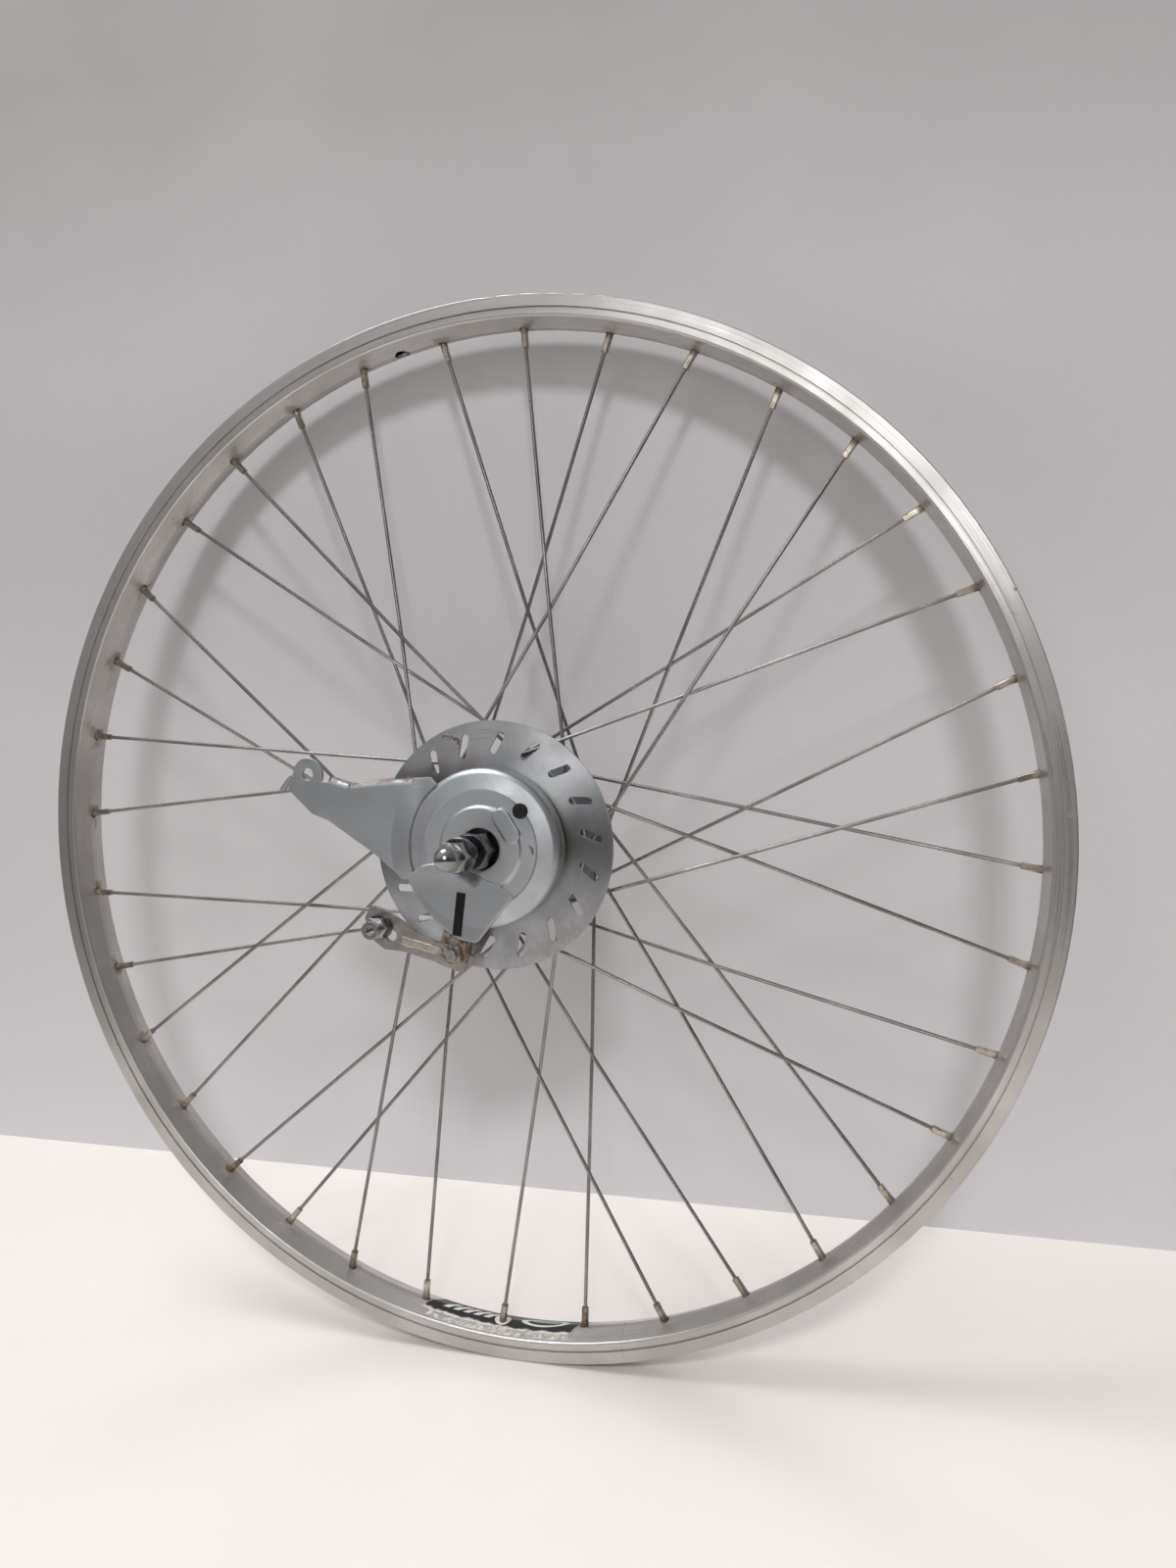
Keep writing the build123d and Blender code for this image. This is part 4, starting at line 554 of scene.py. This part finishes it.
# Plain finishes: tone in clouds, tool marks and stains, each at its own size
plainLooks = [
    # Chrome plate, polished: a bright mirror with faint wipe marks and a grey bloom
    {"name": "polished chrome plate", "metal": 1.0, "bright": "#a3a3a2", "dull": "#8f8f8d", "cloud": 6,
     "grain": 0.25, "turned": 2.0, "rough": (0.06, 0.15), "stain": "#97928b", "stainSize": 4,
     "stained": 0.2, "depth": 0.004, "bend": 0.4, "on": ["left_cap_nut", "right_cap_nut"]},
    # Blackened steel with old oil: near black, shiny in wet patches, grey on the corners
    {"name": "oiled blackened steel", "metal": 1.0, "bright": "#6a6a6e", "dull": "#3f3f42", "cloud": 4,
     "grain": 0.5, "rough": (0.22, 0.42), "stain": "#241f1b", "stainSize": 5, "stained": 0.45,
     "edge": "#8d8d8e", "depth": 0.03, "bend": 0.3,
     "on": ["brake_fixing_nut", "left_washer", "right_washer", "right_locknut", "left_dust_cap",
            "cable_clamp_washer", "cable_clamp_nut"]},
    # Thread rolled steel: dark grey with oil, brighter on the crests
    {"name": "thread rolled steel", "metal": 1.0, "bright": "#6f6f70", "dull": "#4b4a4a", "cloud": 3,
     "grain": 0.3, "rough": (0.25, 0.42), "stain": "#2e2925", "stainSize": 4, "stained": 0.5,
     "edge": "#9a9a9b", "depth": 0.02, "on": ["axle"]},
    # Die cast hub aluminium, turned on its flanges: satin grey with fine rings
    {"name": "die cast aluminium", "metal": 1.0, "bright": "#bcbec1", "dull": "#a3a5a8", "cloud": 14,
     "grain": 0.35, "turned": 2.0, "rough": (0.34, 0.5), "stain": "#77726b", "stainSize": 9,
     "stained": 0.35, "edge": "#d5d6d8", "depth": 0.03, "on": ["hub_shell"]},
    # Ground bearing steel: smooth and bright with a thin film of grease
    {"name": "ground bearing steel", "metal": 1.0, "bright": "#c6c6c8", "dull": "#adadaf", "cloud": 5,
     "grain": 0.2, "turned": 4.0, "rough": (0.12, 0.24), "stain": "#7d7352", "stainSize": 4,
     "stained": 0.3, "depth": 0.006,
     "on": ["left_cone", "right_cone", "left_bearing_cup", "right_bearing_cup", "left_balls",
            "right_balls", "left_ball_retainer", "right_ball_retainer", "shoe_rollers_1",
            "shoe_rollers_2", "shoe_rollers_3", "anchor_pins", "clutch_race", "clutch_rollers"]},
    # Cast iron, bored and turned: dark grey with fine rings and rust in the pores
    {"name": "turned cast iron", "metal": 1.0, "bright": "#62605e", "dull": "#494745", "cloud": 7,
     "grain": 0.45, "turned": 2.0, "rough": (0.4, 0.56), "stain": "#6a4a33", "stainSize": 6,
     "stained": 0.38, "depth": 0.05, "on": ["brake_drum"]},
    # Sintered iron bush soaked with oil: dark brown-grey, fine pores
    {"name": "sintered iron", "metal": 1.0, "bright": "#4b4640", "dull": "#332f2b", "cloud": 5,
     "grain": 0.4, "rough": (0.3, 0.48), "stain": "#1d1916", "stainSize": 3, "stained": 0.5,
     "depth": 0.04, "on": ["brake_bush", "driver_bush"]},
    # Pressed and hardened steel: brown-grey, dark from heat and brake dust
    {"name": "hardened pressed steel", "metal": 1.0, "bright": "#6e6a66", "dull": "#53504d", "cloud": 6,
     "grain": 0.5, "rough": (0.38, 0.55), "stain": "#3b2c20", "stainSize": 5, "stained": 0.45,
     "edge": "#8e8a86", "depth": 0.04,
     "on": ["brake_cam", "brake_shoe_1", "brake_shoe_2", "brake_shoe_3"]},
    # Oil tempered spring wire: dark brown-grey, drawn smooth
    {"name": "oil tempered wire", "metal": 1.0, "bright": "#625d58", "dull": "#46423e", "cloud": 5,
     "grain": 0.3, "rough": (0.26, 0.42), "stain": "#5a3a22", "stainSize": 4, "stained": 0.4,
     "depth": 0.02, "on": ["return_spring", "snap_ring"]},
    # Case hardened sprocket steel: grey with fine rings, brighter on the corners
    {"name": "case hardened steel", "metal": 1.0, "bright": "#8d8d8f", "dull": "#6f6f70", "cloud": 9,
     "grain": 0.35, "turned": 2.0, "rough": (0.3, 0.46), "stain": "#3f3a34", "stainSize": 7,
     "stained": 0.4, "edge": "#b5b5b6", "depth": 0.03, "on": ["sprocket", "driver"]},
    # Zinc plated turned screws and rivets: bright grey with dull patches and dirt
    {"name": "zinc plated screw steel", "metal": 1.0, "bright": "#c4c4c5", "dull": "#a8a8a6", "cloud": 3,
     "grain": 0.25, "rough": (0.18, 0.32), "stain": "#6f675d", "stainSize": 3.5, "stained": 0.22,
     "edge": "#dededd", "depth": 0.01, "bend": 0.3,
     "on": ["cable_clamp_bolt", "lever_rivet", "right_spacer", "disc_rivets"]},
    # Passivated zinc on thin plates inside: pale grey with a yellow cast
    {"name": "passivated zinc plate", "metal": 1.0, "bright": "#bdbaa8", "dull": "#9e9a86", "cloud": 8,
     "grain": 0.35, "turned": 1.5, "rough": (0.3, 0.46), "stain": "#7a6f4e", "stainSize": 6,
     "stained": 0.35, "depth": 0.02, "on": ["roller_plate", "clutch_plate", "right_dust_cover"]},
    # Moulded black rubber: matte, with a grey bloom of dust
    {"name": "moulded black rubber", "metal": 0.0, "gloss": 0.25, "bright": "#1d1d1d", "dull": "#0f0f0f",
     "cloud": 2, "grain": 0.2, "rough": (0.55, 0.75), "stain": "#3a3834", "stainSize": 1.8,
     "stained": 0.3, "depth": 0.03, "on": ["grease_plug"]},
]
cornerLook = {"size": 0.5, "share": 0.7, "rough": -0.06, "patch": (4, 0.3, 0.55)}


def makePlainMaterial(look):
    surface = startSurface(look)
    if "edge" in look:  # corners rubbed bright
        corner = {**cornerLook, "colour": look["edge"], "metal": True}
        addLayer(surface, edgeMask(surface, corner["size"]), corner)
    return closeSurface(surface)


plainMaterials = {look["name"]: makePlainMaterial(look) for look in plainLooks}
for plainLook in plainLooks:
    dress(plainMaterials[plainLook["name"]], *plainLook["on"])
print("plain finishes made:", len(plainLooks))


# Axle with its rolled thread, in place of the plain rod
axleLook = {
    "radius": 5.0, "length": 184.0, "pitch": 1.0, "depth": 0.5, "threadFrom": 46.0, "flats": 8.6,
    "flatLength": 40.0, "rowsPerPitch": 8, "plainRows": 13, "around": 40, "chamfer": 1.2, "margin": 0.01,
    "crestPower": 1.4,
}


def makeAxle():
    # radius over turn and length: a rounded groove that climbs one pitch a turn, cut by two flats at each end
    s = axleLook
    half = s["length"] / 2
    threadRows = int((half - s["threadFrom"]) * s["rowsPerPitch"] / s["pitch"]) + 1
    fine = np.linspace(s["threadFrom"], half, threadRows)
    plain = np.linspace(-s["threadFrom"], s["threadFrom"], s["plainRows"])[1:-1]
    y = np.concatenate([-fine[::-1], plain, fine])
    turn = np.linspace(0, 2 * np.pi, s["around"], endpoint=False)
    yy, tt = np.meshgrid(y, turn, indexing="ij")
    wave = 0.5 + 0.5 * np.cos(2 * np.pi * (yy / s["pitch"]) - tt)
    runIn = np.clip((np.abs(yy) - s["threadFrom"]) / s["pitch"], 0, 1)
    radius = s["radius"] - s["margin"] - s["depth"] * runIn * (1 - wave) ** s["crestPower"]
    radius = np.minimum(radius, s["radius"] - s["chamfer"] + (half - np.abs(yy)))
    flat = s["flats"] / 2 / np.maximum(np.abs(np.sin(tt)), 1e-6)
    radius = np.where(np.abs(yy) > half - s["flatLength"], np.minimum(radius, flat), radius)
    closed = np.concatenate([np.zeros((1, s["around"])), radius, np.zeros((1, s["around"]))])
    length = np.concatenate([yy[:1], yy, yy[-1:]])
    angle = np.concatenate([tt[:1], tt, tt[-1:]])
    points = np.stack([closed * np.cos(angle), length, closed * np.sin(angle)], axis=-1) * mm
    uv = np.stack([angle / (2 * np.pi), length / s["length"] + 0.5], axis=-1)
    axle = gridMesh("threadedAxle", points, uv, plainMaterials["thread rolled steel"], closedU=True)
    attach(axle, "axle_and_brake")
    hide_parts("axle")


makeAxle()
print("axle threaded")


# Printed vinyl on the rim's crown: black with plain pale shapes, scraped to grey glue along the near edge
labelLook = {
    "name": "printed vinyl", "metal": 0.0, "bright": "#232323", "dull": "#161616", "cloud": 9,
    "grain": 0.3, "rough": (0.36, 0.5), "stain": "#4b4743", "stainSize": 5, "stained": 0.2, "depth": 0.03,
    "fromTurn": -101.6, "toTurn": -83.2, "slant": 1.7, "near": -6.4, "far": 10.4, "crown": 271.2,
    "crownFlat": 1.7, "slope": 3.6 / 10.8, "lift": 0.12, "thick": 0.08, "columns": 121, "rows": 25,
    "pale": {"colour": "#d8d6d2", "share": 0.9, "rough": 0.05}, "lean": -0.06,
    "bars": (0.1, 0.17, 0.24, 0.31, 0.38), "barHalf": 0.02, "barAcross": (0.3, 0.78),
    "dash": (0.77, 0.08), "dashAcross": (0.5, 0.58), "lens": (0.77, 0.54), "lensSize": (0.15, 0.3),
    "lensRing": (0.9, 0.14), "punched": {"colour": "#cfcac3", "share": 0.95, "rough": 0.1},
    "holeTurn": -92.527, "holeRing": 4.6, "scraped": {"colour": "#cfcac3", "share": 1.0, "rough": 0.2},
    "scrapedEdge": (0.11, 0.05),
    "scrapedDirt": {"colour": "#857f78", "share": 0.8, "rough": 0.1, "patch": (3, 0.5, 0.62)},
    "tearSize": 7, "tear": (0.25, 0.75, -0.09, 0.09),
}


def makeLabelMaterial():
    s = labelLook
    surface = startSurface(s)
    tree = surface["tree"]
    uv = addNode(tree, "SeparateXYZ", {}, {0: addNode(tree, "TexCoord").outputs["UV"]})
    along, across = uv.outputs["X"], uv.outputs["Y"]
    # plain shapes by the label's own length and width: leaning bars, one dash and a ring-shaped lens
    leaning = calc(tree, "MULTIPLY_ADD", across, s["lean"], along)
    low, high = s["barAcross"]
    band = calc(tree, "COMPARE", across, (low + high) / 2, (high - low) / 2)
    for middle in s["bars"]:
        bar = calc(tree, "COMPARE", leaning, middle, s["barHalf"])
        addLayer(surface, both(surface, bar, band), s["pale"])
    low, high = s["dashAcross"]
    level = calc(tree, "COMPARE", across, (low + high) / 2, (high - low) / 2)
    addLayer(surface, both(surface, calc(tree, "COMPARE", along, *s["dash"]), level), s["pale"])
    flat = addNode(tree, "CombineXYZ", {}, {"X": along, "Y": across})
    fromLens = vectorCalc(tree, "SUBTRACT", flat, (*s["lens"], 0))
    squashed = vectorCalc(tree, "MULTIPLY", fromLens, (1 / s["lensSize"][0], 1 / s["lensSize"][1], 0))
    addLayer(surface, calc(tree, "COMPARE", vectorCalc(tree, "LENGTH", squashed), *s["lensRing"]), s["pale"])
    # bare ring punched round the nipple
    fromHole = calc(tree, "SUBTRACT", surface["turn"], math.radians(s["holeTurn"]))
    arc = calc(tree, "MULTIPLY", fromHole, surface["radius"])
    reach = vectorCalc(tree, "LENGTH", addNode(tree, "CombineXYZ", {}, {"X": arc, "Y": surface["along"]}))
    addLayer(surface, calc(tree, "LESS_THAN", reach, s["holeRing"] * mm), s["punched"])
    # the near edge scraped off in a torn line
    base = surfaceLook
    wear = noise(tree, surface["place"], perSize(s["tearSize"]), base["stainDetail"], base["tearRoughness"])
    torn = calc(tree, "ADD", across, ramp(tree, wear, *s["tear"]))
    scraped = ramp(tree, torn, *s["scrapedEdge"])
    addLayer(surface, scraped, s["scraped"])
    addLayer(surface, scraped, s["scrapedDirt"])
    return closeSurface(surface)


def makeLabel():
    # turn by length and across: the crown's own cone, a tenth of a millimetre off it, with leaning ends
    s = labelLook
    u, v = np.meshgrid(np.linspace(0, 1, s["columns"]), np.linspace(0, 1, s["rows"]))
    y = s["near"] + (s["far"] - s["near"]) * v
    turn = np.radians(s["fromTurn"] + (s["toTurn"] - s["fromTurn"]) * u + s["slant"] * (v - 0.5))
    radius = s["crown"] + np.maximum(np.abs(y) - s["crownFlat"], 0) * s["slope"] - s["lift"]
    points = np.stack([radius * np.cos(turn), y, radius * np.sin(turn)], axis=-1) * mm
    label = gridMesh("rimLabel", points, np.stack([u, v], axis=-1), makeLabelMaterial())
    thicken(label, s["thick"])
    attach(label, "wheel")


makeLabel()

# Cloth tape stuck on the cover's lobe: matte black, fine weave, frayed ends
tapeLook = {
    "name": "black cloth tape", "metal": 0.0, "gloss": 0.2, "bright": "#151414", "dull": "#0b0b0b",
    "cloud": 3, "grain": 0.35, "rough": (0.6, 0.8), "stain": "#2b2926", "stainSize": 2.5, "stained": 0.2,
    "depth": 0.06, "strength": 0.5, "start": (-10.3, -22.3), "end": (-13.3, -44.6), "width": 5.0,
    "front": -51.0, "lift": 0.1, "thick": 0.15, "columns": 17, "rows": 61, "fray": 0.012,
    "frayWaves": 23.0, "frayPower": 8, "ripple": 0.03, "rippleWaves": 31.0,
}


def makeTape():
    # a straight strip by length and width on the lobe, its ends frayed by a small wave and its face rippled
    s = tapeLook
    lengthwise, crosswise = np.linspace(0, 1, s["rows"]), np.linspace(-0.5, 0.5, s["columns"])
    along, across = np.meshgrid(lengthwise, crosswise, indexing="ij")
    start, end = np.array(s["start"]), np.array(s["end"])
    run = end - start
    side = np.array([-run[1], run[0]]) / np.hypot(*run)
    fray = s["fray"] * np.sin(across * s["frayWaves"]) * (np.abs(along - 0.5) * 2) ** s["frayPower"]
    flat = start + (along + fray)[..., None] * run + (across * s["width"])[..., None] * side
    depth = s["front"] - s["lift"] - s["ripple"] * np.sin(along * s["rippleWaves"]) ** 2
    points = np.stack([flat[..., 0], depth, flat[..., 1]], axis=-1) * mm
    uv = np.stack([across + 0.5, along], axis=-1)
    tape = gridMesh("coverTape", points, uv, closeSurface(startSurface(s)))
    thicken(tape, s["thick"])
    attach(tape, "axle_and_brake")


makeTape()
print("label and tape made")


# Painted white board under the wheel, dark studio floor beyond it
floorLook = {
    "name": "painted white board", "metal": 0.0, "bright": "#e9e3df", "dull": "#e5dfdb", "cloud": 300,
    "grain": 4, "rough": (0.5, 0.62), "stain": "#d9d3cf", "stainSize": 120, "stained": 0.2, "depth": 0.2,
    "far": {"colour": "#4b4947", "share": 1.0, "rough": 0.0}, "farFrom": 0.75, "farTo": 1.35,
    "z": -0.2864, "reach": 5.0, "columns": 9,
}


def makeFloor():
    # one flat grid
    s = floorLook
    surface = startSurface(s)
    distance = vectorCalc(surface["tree"], "LENGTH", surface["place"])
    addLayer(surface, ramp(surface["tree"], distance, s["farFrom"], s["farTo"]), s["far"])
    u, v = np.meshgrid(np.linspace(-1, 1, s["columns"]), np.linspace(-1, 1, s["columns"]))
    points = np.stack([u * s["reach"], v * s["reach"], np.full(u.shape, s["z"])], axis=-1)
    gridMesh("floor", points, np.stack([u, v], axis=-1), closeSurface(surface))


# Grey backdrop cloth behind the wheel, with painted light that makes it paler near the floor
wallLook = {
    "name": "grey backdrop cloth", "metal": 0.0, "bright": "#9d9a9a", "dull": "#959292", "cloud": 220,
    "grain": 2, "rough": (0.8, 0.9), "stain": "#908d8d", "stainSize": 90, "stained": 0.25, "depth": 0.4,
    "low": {"colour": "#c9c7c9", "share": 1.0, "rough": 0.0}, "lowFrom": 0.46, "lowTo": 0.06,
    "footY": 0.22, "hangY": 0.036, "hangZ": 0.29, "reach": 5.0, "height": 3.2, "columns": 9, "rows": 97,
}


def makeWall():
    s = wallLook
    surface = startSurface(s)
    tree = surface["tree"]
    # painted light: the cloth paler towards the floor
    addLayer(surface, ramp(tree, surface["up"], s["lowFrom"], s["lowTo"]), s["low"])
    closeSurface(surface)
    # see-through from behind, so that it never hides the wheel, and to the lamp behind it
    behind = addNode(tree, "NewGeometry").outputs["Backfacing"]
    lit = addNode(tree, "LightPath").outputs["Is Shadow Ray"]
    seen = addNode(tree, "MixShader", {}, {
        0: calc(tree, "MAXIMUM", behind, lit), 1: surface["shader"], 2: addNode(tree, "BsdfTransparent")})
    join(tree, seen, surface["output"].inputs["Surface"])
    # by width and height: it hangs straight above hangZ, and below it runs back to footY in a smooth step
    across, up = np.meshgrid(np.linspace(-1, 1, s["columns"]), np.linspace(0, 1, s["rows"]))
    z = floorLook["z"] + up * s["height"]
    share = np.clip((s["hangZ"] - z) / (s["hangZ"] - floorLook["z"]), 0, 1)
    y = s["hangY"] + (s["footY"] - s["hangY"]) * share * share * (3 - 2 * share)
    points = np.stack([across * s["reach"], y, z], axis=-1)
    gridMesh("wall", points, np.stack([across, up], axis=-1), surface["material"])


makeFloor()
makeWall()

# Soft studio light: a key lamp in front and above, one overhead to the left, one high in front to the right
# that casts the shadow on the cloth, one behind, and a world dark at eye level, in front and to the right
lightLook = {
    "key": {"place": (0.0, -1.65, 0.5), "size": 0.7, "power": 5.0, "mirrored": True},
    "top": {"place": (-0.7, -0.35, 1.7), "size": 0.9, "power": 17.0, "mirrored": True},
    "front": {"place": (0.55, -1.8, 1.1), "size": 0.22, "power": 21.0, "mirrored": False},
    "back": {"place": (-0.5, 1.7, 0.9), "size": 0.8, "power": 9.0, "mirrored": True},
}
worldLook = {
    "tone": "#f4f4f6", "upward": (0.02, 0.5, 0.34, 0.7), "downward": (-0.05, -0.45, 0.34, 0.45),
    "frontward": (-0.6, -0.95, 1.0, 0.55), "rightward": (-0.2, 0.6, 1.1, 0.4),
}


def makeLights():
    for name, s in lightLook.items():
        lamp = bpy.data.lights.new(name + "Light", "AREA")
        lamp.shape = "SQUARE"
        lamp.size = s["size"]
        lamp.energy = s["power"]
        holder = bpy.data.objects.new(name + "Light", lamp)
        holder.location = s["place"]
        holder.rotation_euler = (-Vector(s["place"])).to_track_quat("-Z", "Y").to_euler()
        holder.visible_glossy = s["mirrored"]
        bpy.context.scene.collection.objects.link(holder)


def makeWorld():
    # level by direction: brighter above and below the horizon, darker in front and to the right
    s = worldLook
    world = bpy.data.worlds.new("studio")
    bpy.context.scene.world = world
    world.use_nodes = True
    tree = world.node_tree
    tree.nodes.clear()
    axes = addNode(tree, "SeparateXYZ", {}, {0: addNode(tree, "TexCoord").outputs["Generated"]}).outputs
    level = calc(tree, "MAXIMUM", ramp(tree, axes["Z"], *s["upward"]), ramp(tree, axes["Z"], *s["downward"]))
    level = calc(tree, "MULTIPLY", level, ramp(tree, axes["Y"], *s["frontward"]))
    level = calc(tree, "MULTIPLY", level, ramp(tree, axes["X"], *s["rightward"]))
    glow = addNode(tree, "Background", {"Color": hexColour(s["tone"])}, {"Strength": level})
    addNode(tree, "OutputWorld", {}, {"Surface": glow})


makeLights()
makeWorld()
print("stage and lights set")
